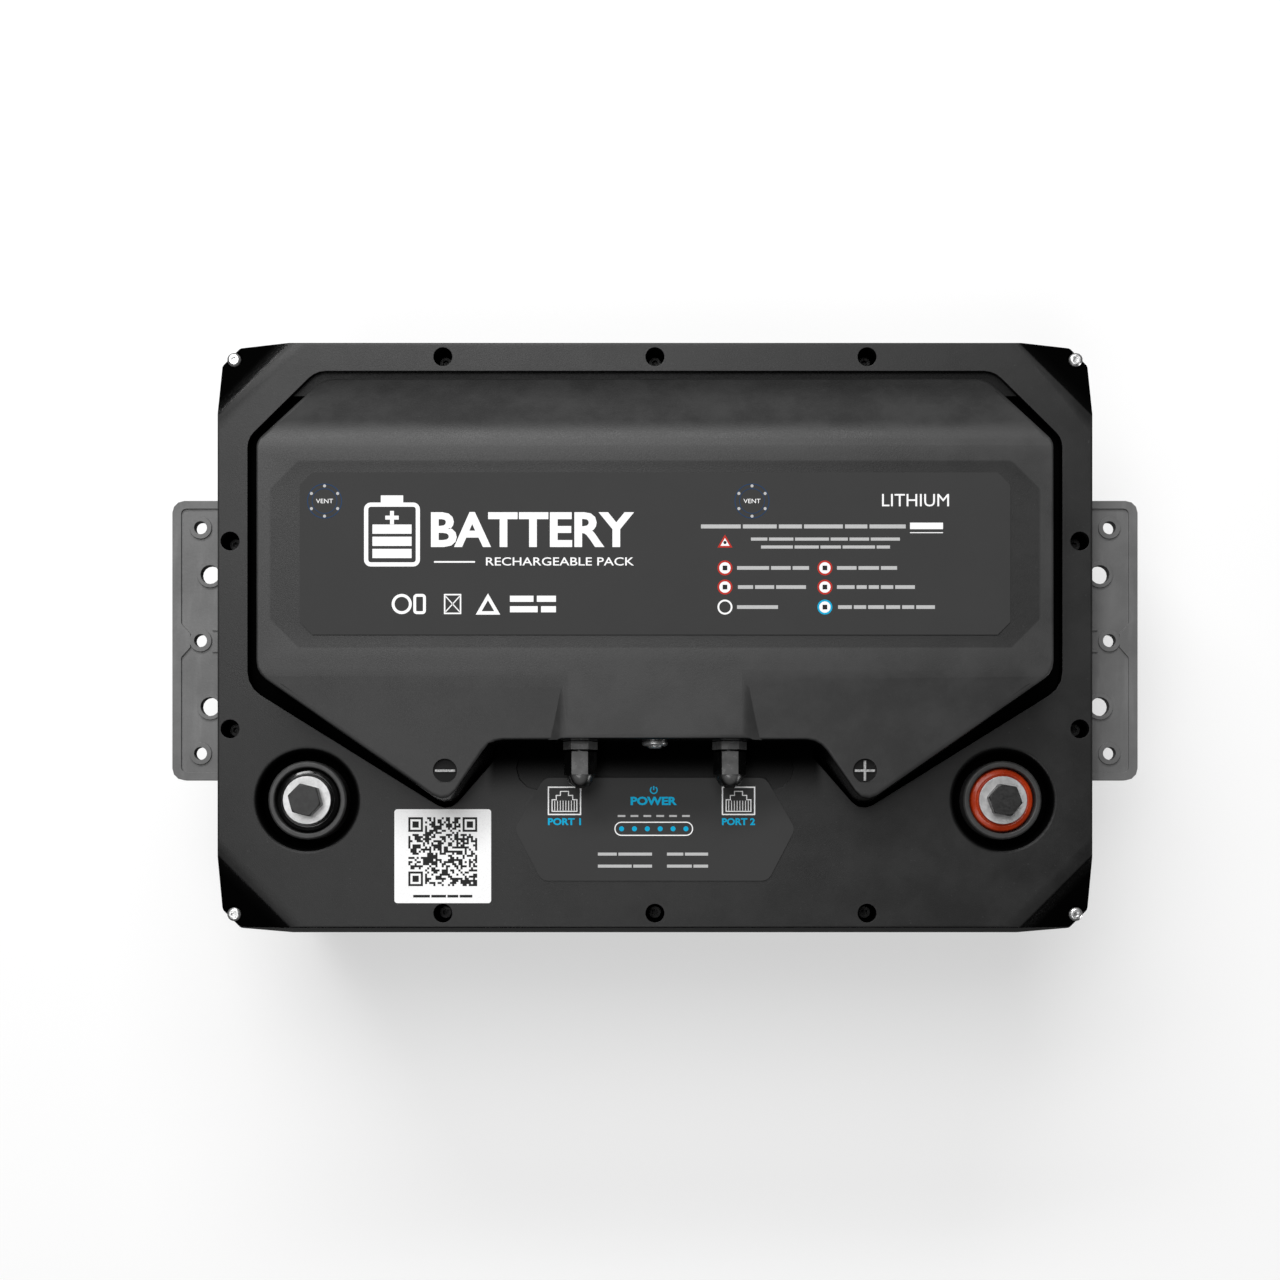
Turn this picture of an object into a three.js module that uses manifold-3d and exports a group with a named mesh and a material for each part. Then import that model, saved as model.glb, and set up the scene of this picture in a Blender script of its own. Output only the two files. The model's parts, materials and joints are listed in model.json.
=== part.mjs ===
// A 51.2 V lithium iron phosphate battery pack: a moulded tub and lid around sixteen prismatic cells,
// with two bolted terminals, two glanded data ports, a power button and a pair of mounting ears.
// Millimetres, +Z up. The origin is the centre of the pack's footprint, on the face it stands on.
// +X runs along the long side, -Y is the front, where the terminals and the ports are.

import * as THREE from "three";
import { mergeVertices } from "three/addons/utils/BufferGeometryUtils.js";
import Module from "manifold-3d";

const wasm = await Module();
wasm.setup();

// ---------------------------------------------------------------- driving dimensions

const GAP = 0.3; // left between pieces that touch

// Lid
const LID = { halfX: 252, halfY: 168.5, cornerCut: 44, rimZ: 170, bottomZ: 150.3, band: 24, chamfer: 10.4 };
// The lid's corner facets, as [distance outwards from the 45 degree line, drop below the rim]
const CORNER_FALL = [[-7, 0], [-1, 0.5], [3, 1.9], [40, 19.5]];
const RIM_EDGE = [[0, 1.8], [0.5, 0.5], [1.8, 0]]; // [inset, drop] of the rim's rounded outer edge
const DECK = {
  topZ: 204, // plateau of the raised deck
  halfX: 221,
  ridgeR: 32, // rounding between the back slope and the plateau
  breakR: 60,
  edgeR: 1.6, // rounding of the top edge
  draft: 0.06, // how far the walls lean out for each millimetre down
  footZ: 162,
  backY: 147,
  backZ: 172, // where the back slope meets the deck's wall
  plateauY: 108,
  breakY: -28, // the front of the deck falls away from here, except at the hump
  frontSlope: 0.175,
  frontY: -62,
  wall: 4.5,
};
const HUMP = { topHalfX: 52, footHalfX: 61, backY: -20 };
const PRONG = { tipX: 116, tipY: -94 };
const MOAT = { halfX: 234.3, backY: 151.8, depth: 8, shallowY: 138, shallowDepth: 3 };
const RECESS = { halfX: 197.4, backY: 86.5, frontY: -4.3, cut: 7, depth: 2.5 };
const RECESS_LIP = { halfX: 210, backY: 90.5, frontY: -9.5, cut: 14 };
const PORT_RECESS = { halfX: 79.6, frontY: -89, depth: 1.4, endR: 12 };
const MARK = { x: 117.4, y: -79, r: 6.6, depth: 1.2 };

// Screws that hold the lid down, in deep wells along its rim
const WELL = { r: 5.4, floorZ: 153 };
const RIM_SCREWS = [
  ...[-122, 0, 122].flatMap((x) => [[x, 160], [x, -160]]),
  ...[-54, 54].flatMap((y) => [[244.4, y], [-244.4, y]]),
];
const RIM_SCREW = { headR: 3.5, headH: 4, socketR: 1.75, shankR: 1.9, length: 16 };
const CORNER_SCREW = { x: 244.6, y: 161.1, headR: 4, headH: 2.6, socketR: 1.5, shankR: 1.9, length: 16 };
const CORNER_SEAT = { z: 158.6, r: 5.4 };

// Tub
const FLANGE = { halfX: 257, halfY: 172.3, topZ: 149, thick: 5, taper: 2.6, chamfer: 10.6 };
const TUB = { topHalfX: 248, topHalfY: 166.5, footHalfX: 246, footHalfY: 165.5, chamfer: 13, floor: 3.5 };
const CAVITY = { halfX: 243.5, halfY: 162, cut: 37 };
const RIB = { width: 4, proud: 3.5, footZ: 14 };

// Mounting ears
const EAR = {
  halfY: 82.7,
  tipX: 285.7,
  thick: 6,
  rise: 1.2,
  cornerR: 7,
  legX: 250.8,
  legT: 4,
  legFootZ: 84,
};
const EAR_SMALL = { x: 269, ys: [-66.8, 0, 66.8], r: 3.8, bossR: 6.6 };
const EAR_LARGE = { x: 263.4, ys: [-39.1, 39.1], r: 5.55, bossR: 7.8 };
const EAR_FIELD = { tipX: 280.4, halfY: 78, neckHalfY: 10, neckX: 275 };
const EAR_TICKS = { pitch: 6.4, width: 1.2, reach: [10, 7, 7, 0], fromX: 252 };

// Terminals
const TERMINAL = { x: 200.2, y: -95, pocketR: 28, pocketLip: 3.2, pocketDepth: 14 };
const COLLAR = { outerR: 22.7, innerR: 19, topZ: 169 };
const INSULATOR = { outerR: 18.7, innerR: 11.3, topZ: 167.6 };
const POST = { r: 11, footZ: 136, flangeR: 15, flangeT: 4, topZ: 168, boreR: 5.3, boreFootZ: 144 };
const WASHER = { r: 13.8, boreR: 5.4, thick: 2 };
const BOLT = { acrossFlats: 17, headH: 6.8, shankR: 5, length: 20 };
const BOLT_TURN = { negative: 15, positive: 20 }; // degrees that each hexagon stands turned by

// Ports and power button, on the front wall of the hump
const PORT_Z = LID.rimZ + 14;
const GLAND = { x: 42.2, collarAF: 17, collarT: 4.6, tubeR: 5.6, boreR: 3.9, reachIn: 14, reachOut: 15 };
const NUT = { acrossFlats: 16, length: 13, domeL: 6, endR: 5.2, boreR: 4.2, gap: 1.2 };
const PLUG = { r: 3.5, proud: 1.4 };
const FLAT_UP = 30; // degrees that turn a lying hexagon from a corner up to a flat up
const BUTTON = { bezelR: 7.4, bezelT: 2.6, barrelR: 5.7, boreR: 4.7, capR: 4.3, proud: 1.4, reachIn: 18 };

// Labels and light bar
const FILM = 0.4;
const PANEL = [[63.6, -82.2], [80.6, -111.5], [65, -141.3]];
const LIGHT_BAR = { halfX: 22.5, y: -111.3, halfY: 2.6, footZ: 163, dots: 6, pitch: 7.4, dotR: 1.4 };

// Cells and what is above them
const CELL = { x: 50, y: 160, z: 112, clearance: 0.4, perRow: 8, ventR: 6, postR: 7, postH: 3, postY: 52 };
const CELL_FOOT_Z = 6;
const BUSBAR = { halfX: 42, halfY: 10, thick: 2.5, plateT: 1.5 };
const CLAMP = { footZ: 34, topZ: 92, plate: 5, strap: 1.1 };
const BMS = { halfX: 140, backY: 84, frontY: -18, footZ: 140, baseT: 8, topZ: 168, fins: 14, finT: 2.5 };

// ---------------------------------------------------------------- materials

const material = (color, roughness, metalness) =>
  new THREE.MeshStandardMaterial({ color, roughness, metalness });
const BLACK_PLASTIC = material(0x2a2a2b, 0.55, 0);
const TUB_PLASTIC = material(0x1d1d1e, 0.6, 0);
const RUBBER = material(0x161616, 0.85, 0);
const EAR_METAL = material(0x6b6c6c, 0.6, 0.2);
const RED_PLASTIC = material(0xb52a10, 0.35, 0);
const GLOSS_BLACK = material(0x0b0b0b, 0.3, 0);
const STEEL = material(0xc9c9c6, 0.35, 1);
const DARK_STEEL = material(0x3a3a3b, 0.4, 1);
const BRASS = material(0xbda263, 0.4, 1);
const LABEL_FILM = material(0x404040, 0.5, 0);
const BLUE_LENS = material(0x1fa0dc, 0.3, 0);
const CELL_WRAP = material(0x2c63b0, 0.5, 0);
const GLAND_NYLON = material(0x3a3a3a, 0.5, 0);
const BOARD = material(0x1d5b38, 0.6, 0);
const ALUMINIUM = material(0xa9abad, 0.45, 1);

// ---------------------------------------------------------------- shape helpers

// A closed three.js geometry as a manifold-3d solid.
function solidOf(geometry) {
  geometry.deleteAttribute("normal");
  geometry.deleteAttribute("uv");
  const merged = mergeVertices(geometry, 1e-4);
  return new wasm.Manifold(
    new wasm.Mesh({
      numProp: 3,
      vertProperties: merged.attributes.position.array,
      triVerts: new Uint32Array(merged.index.array),
    }),
  );
}

// A manifold-3d solid as a named three.js mesh.
function meshOf(name, solid, surface) {
  const made = solid.getMesh();
  const geometry = new THREE.BufferGeometry()
    .setAttribute("position", new THREE.BufferAttribute(new Float32Array(made.vertProperties), 3))
    .setIndex(new THREE.BufferAttribute(new Uint32Array(made.triVerts), 1));
  geometry.computeVertexNormals();
  const mesh = new THREE.Mesh(geometry, surface);
  mesh.name = name;
  return mesh;
}

// An outline whose corners are rounded: each corner is [x, y] or [x, y, radius].
function rounded(corners, stepsPerArc = 3) {
  const n = corners.length;
  return corners.flatMap(([x, y, r = 0], i) => {
    const here = new THREE.Vector2(x, y);
    if (!r) return [here];
    const toLast = new THREE.Vector2(...corners[(i + n - 1) % n].slice(0, 2)).sub(here).normalize();
    const toNext = new THREE.Vector2(...corners[(i + 1) % n].slice(0, 2)).sub(here).normalize();
    const half = Math.acos(THREE.MathUtils.clamp(toLast.dot(toNext), -1, 1)) / 2;
    const centre = toLast.clone().add(toNext).normalize().multiplyScalar(r / Math.sin(half)).add(here);
    const start = toLast.clone().multiplyScalar(r / Math.tan(half)).add(here).sub(centre);
    const end = toNext.clone().multiplyScalar(r / Math.tan(half)).add(here).sub(centre);
    const sweep = Math.atan2(start.cross(end), start.dot(end));
    return Array.from({ length: stepsPerArc + 1 }, (_, k) =>
      start.clone().rotateAround(new THREE.Vector2(), (sweep * k) / stepsPerArc).add(centre),
    );
  });
}

// The outline of a shape that is the same on both sides of the YZ plane, from its +X half, back to front.
const mirrored = (half) => [...half, ...half.map(([x, ...rest]) => [-x, ...rest]).reverse()];

// An upright prism over an outline.
function prism(outline, z0, z1) {
  const shape = new THREE.Shape(outline);
  const geometry = new THREE.ExtrudeGeometry(shape, { depth: z1 - z0, bevelEnabled: false });
  return solidOf(geometry.translate(0, 0, z0));
}

// A prism along X over an outline drawn in the YZ plane.
function alongX(outline, x0, x1) {
  const shape = new THREE.Shape(outline);
  const geometry = new THREE.ExtrudeGeometry(shape, { depth: x1 - x0, bevelEnabled: false });
  geometry.translate(0, 0, x0);
  const turn = new THREE.Matrix4().makeBasis(
    new THREE.Vector3(0, 1, 0),
    new THREE.Vector3(0, 0, 1),
    new THREE.Vector3(1, 0, 0),
  );
  return solidOf(geometry.applyMatrix4(turn));
}

// A closed body through a stack of outlines that have the same number of points. Each is a list of
// Vector3, and the lowest and the highest are level.
function stacked(layers) {
  const flat = layers[0].map((p) => new THREE.Vector2(p.x, p.y));
  if (THREE.ShapeUtils.isClockWise(flat)) return stacked(layers.map((layer) => layer.toReversed()));
  const n = flat.length;
  const index = [];
  for (let k = 0; k < layers.length - 1; k++) {
    for (let i = 0; i < n; i++) {
      const [a, b] = [k * n + i, k * n + ((i + 1) % n)];
      index.push(a, b, b + n, a, b + n, a + n);
    }
  }
  const capOf = (layer) =>
    THREE.ShapeUtils.triangulateShape(layer.map((p) => new THREE.Vector2(p.x, p.y)), []);
  const last = (layers.length - 1) * n;
  capOf(layers[0]).forEach(([a, b, c]) => index.push(a, c, b));
  capOf(layers.at(-1)).forEach(([a, b, c]) => index.push(a + last, b + last, c + last));
  return solidOf(new THREE.BufferGeometry().setFromPoints(layers.flat()).setIndex(index));
}

const atHeight = (outline, z) => outline.map((p) => new THREE.Vector3(p.x, p.y, z));

const loft = (lower, z0, upper, z1) => stacked([atHeight(lower, z0), atHeight(upper, z1)]);

const block = (x0, x1, y0, y1, z0, z1) =>
  solidOf(
    new THREE.BoxGeometry(x1 - x0, y1 - y0, z1 - z0).translate(
      (x0 + x1) / 2, (y0 + y1) / 2, (z0 + z1) / 2,
    ),
  );

// A block centred on the Z axis in plan.
const centredBlock = (halfX, halfY, z0, z1) => block(-halfX, halfX, -halfY, halfY, z0, z1);

// A body turned about Z: its profile is a list of [radius, z] from the lowest point up.
function turned(profile, segments = 24) {
  const points = profile.map(([r, z]) => new THREE.Vector2(r, z));
  return solidOf(new THREE.LatheGeometry(points, segments).rotateX(Math.PI / 2));
}

const drum = (r, z0, z1, segments = 24) =>
  turned([[0, z0], [r, z0], [r, z1], [0, z1]], segments);

const ringBody = (outerR, innerR, z0, z1, segments = 32) =>
  turned([[innerR, z0], [outerR, z0], [outerR, z1], [innerR, z1], [innerR, z0]], segments);

const hexagon = (acrossFlats, z0, z1, turnDegrees = 0) =>
  drum(acrossFlats / Math.sqrt(3), z0, z1, 6).rotate([0, 0, turnDegrees]);

const union = (solids) => solids.reduce((all, next) => all.add(next));

// A body built upright and laid down so that its +Z points along -Y, out of the front wall.
const layForward = (solid, x) => solid.rotate([90, 0, 0]).translate([x, DECK.frontY, PORT_Z]);

// A rectangle whose four corners are cut off at 45 degrees.
const cutRectangle = (halfX, halfY, cut, r = 0, stepsPerArc = 3) =>
  rounded([
    [halfX, halfY - cut, r], [halfX - cut, halfY, r],
    [-halfX + cut, halfY, r], [-halfX, halfY - cut, r],
    [-halfX, -halfY + cut, r], [-halfX + cut, -halfY, r],
    [halfX - cut, -halfY, r], [halfX, -halfY + cut, r],
  ], stepsPerArc);

const cutFrame = ({ halfX, backY, frontY, cut }) =>
  cutRectangle(halfX, (backY - frontY) / 2, cut).map(
    (p) => new THREE.Vector2(p.x, p.y + (backY + frontY) / 2),
  );

const CORNERS = [[-1, -1], [1, -1], [-1, 1], [1, 1]];
const cornerScrewAt = (sx, sy) => [sx * CORNER_SCREW.x, sy * CORNER_SCREW.y, 0];

// ---------------------------------------------------------------- lid

// The deck's outline in plan. inset moves its walls inwards.
function deckOutline(inset = 0) {
  const d = inset;
  return rounded(
    mirrored([
      [190 - d * 0.6, DECK.backY - d, 12],
      [DECK.halfX - d, 103 - d * 0.5, 10],
      [DECK.halfX - d, -25 + d * 0.6, 12],
      [PRONG.tipX + 1.5 - d * 0.2, PRONG.tipY - 4 + d * 1.6, 8.5],
      [91.5 + d * 1.2, DECK.frontY + d, 14],
    ]),
  );
}

// The deck's top seen from the side, as [y, z] from behind the back edge to past the prongs.
const DECK_TOP = rounded(
  [
    [DECK.backY + 12, DECK.backZ - 12 * ((DECK.topZ - DECK.backZ) / (DECK.backY - DECK.plateauY))],
    [DECK.plateauY, DECK.topZ, DECK.ridgeR],
    [DECK.breakY, DECK.topZ, DECK.breakR],
    [PRONG.tipY - 20, DECK.topZ - (DECK.breakY - PRONG.tipY + 20) * DECK.frontSlope],
  ],
  5,
);

function deckTopAt(y) {
  const k = Math.max(1, DECK_TOP.findIndex((p) => p.x <= y));
  const [from, to] = [DECK_TOP[k - 1], DECK_TOP[k]];
  return THREE.MathUtils.mapLinear(y, from.x, to.x, from.y, to.y);
}

// Everything under the deck's top, lowered by drop.
function deckProfile(drop = 0) {
  const top = DECK_TOP.map((p) => new THREE.Vector2(p.x, p.y - drop));
  const foot = [new THREE.Vector2(top.at(-1).x, 100), new THREE.Vector2(top[0].x, 100)];
  return alongX([...top, ...foot], -DECK.halfX - 12, DECK.halfX + 12);
}

// The deck with leaning walls and a rounded top edge. The front wall between the prongs is upright.
function deckBody() {
  const r = DECK.edgeR;
  const outer = deckOutline(0);
  const step = deckOutline(1).map((p, i) => p.clone().sub(outer[i]));
  const insetAt = (i, inset) => step[i].clone().multiplyScalar(inset).add(outer[i]);
  const isFrontWall = ({ x, y }) => y > DECK.frontY - 8 && y < 0 && Math.abs(x) < 93;
  const footLayer = outer.map((p, i) => {
    const lean = isFrontWall(p) ? 0 : DECK.draft * (deckTopAt(p.y) - r - DECK.footZ);
    const { x, y } = insetAt(i, -lean);
    return new THREE.Vector3(x, y, DECK.footZ);
  });
  const edgeLayers = [[0, -r], [0.134 * r, -0.5 * r], [0.5 * r, -0.134 * r], [1.6 * r, 0.16 * r]].map(
    ([inset, rise]) =>
      outer.map((_, i) => {
        const { x, y } = insetAt(i, inset);
        return new THREE.Vector3(x, y, deckTopAt(y) + rise);
      }),
  );
  const above = atHeight(edgeLayers.at(-1), DECK.topZ + 10);
  return stacked([footLayer, ...edgeLayers, above]).intersect(deckProfile());
}

// The hump that keeps the plateau's height out to the ports. shrink makes the hollow inside it.
function hump(shrink = 0) {
  const { topHalfX, footHalfX, backY } = HUMP;
  const footZ = DECK.topZ - (DECK.breakY - DECK.frontY) * DECK.frontSlope - 2;
  const level = (halfX, inset, z) =>
    atHeight(
      rounded([
        [halfX - shrink, DECK.frontY + inset + shrink], [halfX - shrink, backY],
        [-halfX + shrink, backY], [-halfX + shrink, DECK.frontY + inset + shrink],
      ]),
      z - shrink,
    );
  return stacked([
    level(footHalfX, 0, footZ),
    level(topHalfX + 2.5, 0, DECK.topZ - 3),
    level(topHalfX, 0.9, DECK.topZ - 0.9),
    level(topHalfX - 4, 3, DECK.topZ),
  ]);
}

// The groove around the deck, in plan: wide at the sides, narrow at the prongs' tips.
function moatOutline() {
  return rounded(
    mirrored([
      [195, MOAT.backY, 14],
      [MOAT.halfX, 113, 12],
      [MOAT.halfX, -30, 16],
      [PRONG.tipX + 2.5, PRONG.tipY - 8, 9],
      [90.5, DECK.frontY - 8, 3],
      [90.5, DECK.frontY + 4],
    ]),
  );
}

// The pocket around a terminal, with a rounded lip.
function terminalPocket() {
  const { pocketR: r, pocketLip: lip, pocketDepth } = TERMINAL;
  const top = LID.rimZ;
  return turned(
    [
      [0, top - pocketDepth], [r, top - pocketDepth], [r, top - lip], [r + 0.134 * lip, top - 0.5 * lip],
      [r + 0.5 * lip, top - 0.134 * lip], [r + lip * 1.5, top + 0.134 * lip], [0, top + 0.134 * lip],
    ],
    44,
  );
}

function portRecessOutline() {
  const { halfX, frontY, endR } = PORT_RECESS;
  return rounded([
    [halfX, DECK.frontY - 2, endR], [-halfX, DECK.frontY - 2, endR],
    [-halfX, frontY, endR], [halfX, frontY, endR],
  ]);
}

// What is cut away above the facet that falls from the rim to one corner of the lid.
function aboveCornerFacet(sx, sy) {
  const wedge = alongX(
    [
      ...CORNER_FALL.map(([out, drop]) => new THREE.Vector2(out, LID.rimZ - drop)),
      new THREE.Vector2(CORNER_FALL.at(-1)[0], LID.rimZ + 1),
      new THREE.Vector2(CORNER_FALL[0][0], LID.rimZ + 1),
    ],
    -40,
    40,
  );
  const heading = THREE.MathUtils.radToDeg(Math.atan2(sy, sx)) - 90;
  const middle = LID.cornerCut / 2;
  return wedge
    .rotate([0, 0, heading])
    .translate([sx * (LID.halfX - middle), sy * (LID.halfY - middle), 0]);
}

function buildLid() {
  const outlineAt = (inset) => cutRectangle(LID.halfX - inset, LID.halfY - inset, LID.chamfer, 3);
  let plate = stacked([
    atHeight(outlineAt(0), LID.bottomZ),
    ...RIM_EDGE.map(([inset, drop]) => atHeight(outlineAt(inset), LID.rimZ - drop)),
  ]);
  for (const [sx, sy] of CORNERS) {
    plate = plate
      .subtract(aboveCornerFacet(sx, sy))
      .subtract(drum(CORNER_SEAT.r, CORNER_SEAT.z, LID.rimZ, 18).translate(cornerScrewAt(sx, sy)))
      .subtract(drum(CORNER_SCREW.shankR + 0.4, 140, LID.rimZ, 8).translate(cornerScrewAt(sx, sy)));
  }
  const deck = deckBody().add(hump());
  const moatFloorZ = LID.rimZ - MOAT.depth;
  const behindSlope = block(
    -LID.halfX, LID.halfX, MOAT.shallowY, LID.halfY, moatFloorZ - 1, LID.rimZ - MOAT.shallowDepth,
  );
  const moat = prism(moatOutline(), moatFloorZ, LID.rimZ + 1).subtract(behindSlope);
  const portRecess = prism(portRecessOutline(), LID.rimZ - PORT_RECESS.depth, LID.rimZ + 1);
  const panelLand = prism(rounded(mirrored(PANEL)), LID.rimZ - 5, LID.rimZ + 2);
  let lid = plate.subtract(moat).subtract(portRecess.subtract(panelLand)).add(deck);

  // The shallow tray that the main label lies in, with sloping sides.
  const tray = loft(
    cutFrame(RECESS), DECK.topZ - RECESS.depth,
    cutFrame(RECESS_LIP), DECK.topZ + 0.02,
  );
  lid = lid.subtract(tray);

  // Hollow underneath: a wide shallow space, and the space inside the deck.
  const cupR = TERMINAL.pocketR + 3.5;
  const floorZ = LID.rimZ - MOAT.depth - 4;
  const wide = prism(
    cutRectangle(LID.halfX - LID.band, LID.halfY - LID.band, LID.cornerCut), LID.bottomZ - 1, floorZ,
  );
  const inDeck = prism(deckOutline(DECK.wall), floorZ - 1, DECK.topZ).intersect(deckProfile(DECK.wall));
  const inHump = hump(DECK.wall);
  lid = lid.subtract(wide).subtract(inDeck.add(inHump));

  // Terminal pockets, each a cup with a hole for the post.
  for (const x of [-TERMINAL.x, TERMINAL.x]) {
    const at = [x, TERMINAL.y, 0];
    lid = lid
      .add(drum(cupR, LID.bottomZ, LID.rimZ - 2, 20).translate(at))
      .subtract(terminalPocket().translate(at))
      .subtract(drum(POST.r + 0.4, LID.bottomZ - 1, LID.rimZ, 24).translate(at));
  }

  // Screw wells.
  for (const [x, y] of RIM_SCREWS) {
    lid = lid
      .subtract(drum(WELL.r, WELL.floorZ, LID.rimZ + 1, 18).translate([x, y, 0]))
      .subtract(drum(RIM_SCREW.shankR + 0.4, LID.bottomZ - 1, LID.rimZ, 8).translate([x, y, 0]));
  }

  // Port and button holes through the hump's front wall.
  const hole = (r) => drum(r, -2, 10, 20);
  for (const x of [-GLAND.x, GLAND.x]) {
    lid = lid.subtract(layForward(hole(GLAND.tubeR + GAP), x).translate([0, 8, 0]));
  }
  lid = lid.subtract(layForward(hole(BUTTON.barrelR + 0.3), 0).translate([0, 8, 0]));

  // Slot for the light bar.
  const { halfX, halfY, y, footZ } = LIGHT_BAR;
  lid = lid.subtract(
    block(-halfX - GAP, halfX + GAP, y - halfY - GAP, y + halfY + GAP, footZ - 12, LID.rimZ + 1),
  );

  // Sunk discs for the polarity marks.
  for (const x of [-MARK.x, MARK.x]) {
    const disc = drum(MARK.r, -MARK.depth, 5, 24);
    lid = lid.subtract(disc.translate([x, MARK.y, deckTopAt(MARK.y)]));
  }
  return lid;
}

// ---------------------------------------------------------------- tub, gasket and ears

function flangeOutline(grow = 0) {
  const { halfX, halfY, taper, chamfer } = FLANGE;
  const x = halfX + grow;
  const y = halfY + grow;
  const cornerX = x - taper;
  const cornerY = y - taper;
  const quarter = [
    [x, y - LID.cornerCut],
    [cornerX, cornerY - chamfer, 3],
    [cornerX - chamfer, cornerY, 3],
    [x - LID.cornerCut, y],
  ];
  const flip = (corners, sx, sy) => corners.map(([px, py, r]) => [sx * px, sy * py, r]);
  return rounded([
    ...quarter,
    ...flip(quarter, -1, 1).reverse(),
    ...flip(quarter, -1, -1),
    ...flip(quarter, 1, -1).reverse(),
  ]);
}

function buildTub() {
  const foot = cutRectangle(TUB.footHalfX, TUB.footHalfY, TUB.chamfer, 6, 2);
  const top = cutRectangle(TUB.topHalfX, TUB.topHalfY, TUB.chamfer, 6, 2);
  const underside = FLANGE.topZ - FLANGE.thick;
  let tub = loft(foot, 0, top, underside + 1);
  tub = tub.add(prism(flangeOutline(), underside, FLANGE.topZ));

  // Upright ribs on the long sides, and on the ends beside the ears.
  for (const side of [-1, 1]) {
    for (const x of [-210, -150, -90, -30, 30, 90, 150, 210]) {
      const y0 = side > 0 ? TUB.footHalfY - 3 : -TUB.footHalfY - RIB.proud;
      tub = tub.add(
        block(x - RIB.width / 2, x + RIB.width / 2, y0, y0 + 3 + RIB.proud, RIB.footZ, underside + 1),
      );
    }
    for (const y of [-125, -105, 105, 125]) {
      const x0 = side > 0 ? TUB.footHalfX - 3 : -TUB.footHalfX - RIB.proud;
      tub = tub.add(
        block(x0, x0 + 3 + RIB.proud, y - RIB.width / 2, y + RIB.width / 2, RIB.footZ, underside + 1),
      );
    }
  }

  // Bosses under the flange's corners, for the corner screws.
  for (const [sx, sy] of CORNERS) {
    const boss = turned([[0, 118], [2, 118], [6.2, 130], [6.2, underside + 1], [0, underside + 1]], 12);
    tub = tub.add(boss.translate(cornerScrewAt(sx, sy)));
  }

  // The inside, then the bosses that the lid's screws bite into.
  tub = tub.subtract(
    prism(cutRectangle(CAVITY.halfX, CAVITY.halfY, CAVITY.cut), TUB.floor, FLANGE.topZ + 1),
  );
  for (const [x, y] of RIM_SCREWS) {
    const boss = turned([[0, 124], [1.5, 124], [4.6, 131], [4.6, FLANGE.topZ], [0, FLANGE.topZ]], 10);
    tub = tub.add(boss.translate([x, y, 0]));
  }
  for (const [x, y] of RIM_SCREWS) {
    tub = tub.subtract(drum(RIM_SCREW.shankR + GAP, 132, FLANGE.topZ + 1, 8).translate([x, y, 0]));
  }
  for (const [sx, sy] of CORNERS) {
    const pilot = drum(CORNER_SCREW.shankR + GAP, 134, FLANGE.topZ + 1, 8);
    tub = tub.subtract(pilot.translate(cornerScrewAt(sx, sy)));
  }
  return tub;
}

function buildGasket() {
  const z0 = FLANGE.topZ + 0.15;
  const z1 = LID.bottomZ - 0.15;
  const outer = prism(cutRectangle(LID.halfX - 0.6, LID.halfY - 0.6, LID.cornerCut), z0, z1);
  const inner = prism(cutRectangle(LID.halfX - 4.9, LID.halfY - 4.9, LID.cornerCut - 1), z0 - 1, z1 + 1);
  return outer.subtract(inner);
}

// The ear on the +X side: a cast angle whose flat plate has a raised border, bosses and short ribs.
function buildEar() {
  const topZ = FLANGE.topZ - FLANGE.thick - GAP;
  const plateFootZ = topZ - EAR.thick;
  const { halfY, tipX, cornerR, legX, legT } = EAR;
  const plate = prism(
    rounded([[tipX, halfY, cornerR], [legX, halfY], [legX, -halfY], [tipX, -halfY, cornerR]]),
    plateFootZ, topZ,
  );
  const leg = block(legX, legX + legT, -halfY, halfY, EAR.legFootZ, plateFootZ + 1);
  const f = EAR_FIELD;
  const field = prism(
    rounded([
      [legX - 1, -f.halfY], [f.tipX, -f.halfY, 3], [f.tipX, -f.neckHalfY, 2], [f.neckX, -4],
      [f.neckX, 4], [f.tipX, f.neckHalfY, 2], [f.tipX, f.halfY, 3], [legX - 1, f.halfY],
    ]),
    topZ - EAR.rise, topZ + 1,
  );
  let ear = plate.subtract(field).add(leg);
  const holes = [EAR_SMALL, EAR_LARGE].flatMap((h) => h.ys.map((y) => ({ ...h, y })));
  for (const { x, y, bossR } of holes) {
    ear = ear.add(drum(bossR, topZ - 3, topZ, 18).translate([x, y, 0]));
  }
  EAR_TICKS.reach.forEach((reach, i) => {
    if (!reach) return;
    for (const y of [-1, 1].map((side) => side * EAR_TICKS.pitch * (i + 1))) {
      const half = EAR_TICKS.width / 2;
      ear = ear.add(block(legX, EAR_TICKS.fromX + reach, y - half, y + half, topZ - 2, topZ - 0.3));
    }
  });
  for (const y of [-60, -20, 20, 60]) {
    const gusset = rounded([[0, 0], [16, 0], [0, -22]]);
    const web = prism(gusset, -2, 2).rotate([90, 0, 0]).translate([legX + legT - 0.5, y, plateFootZ + 0.5]);
    ear = ear.add(web);
  }
  for (const { x, y, r } of holes) {
    ear = ear.subtract(drum(r, plateFootZ - 3, topZ + 1, 16).translate([x, y, 0]));
  }
  return ear;
}

// ---------------------------------------------------------------- fasteners and terminals

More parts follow.
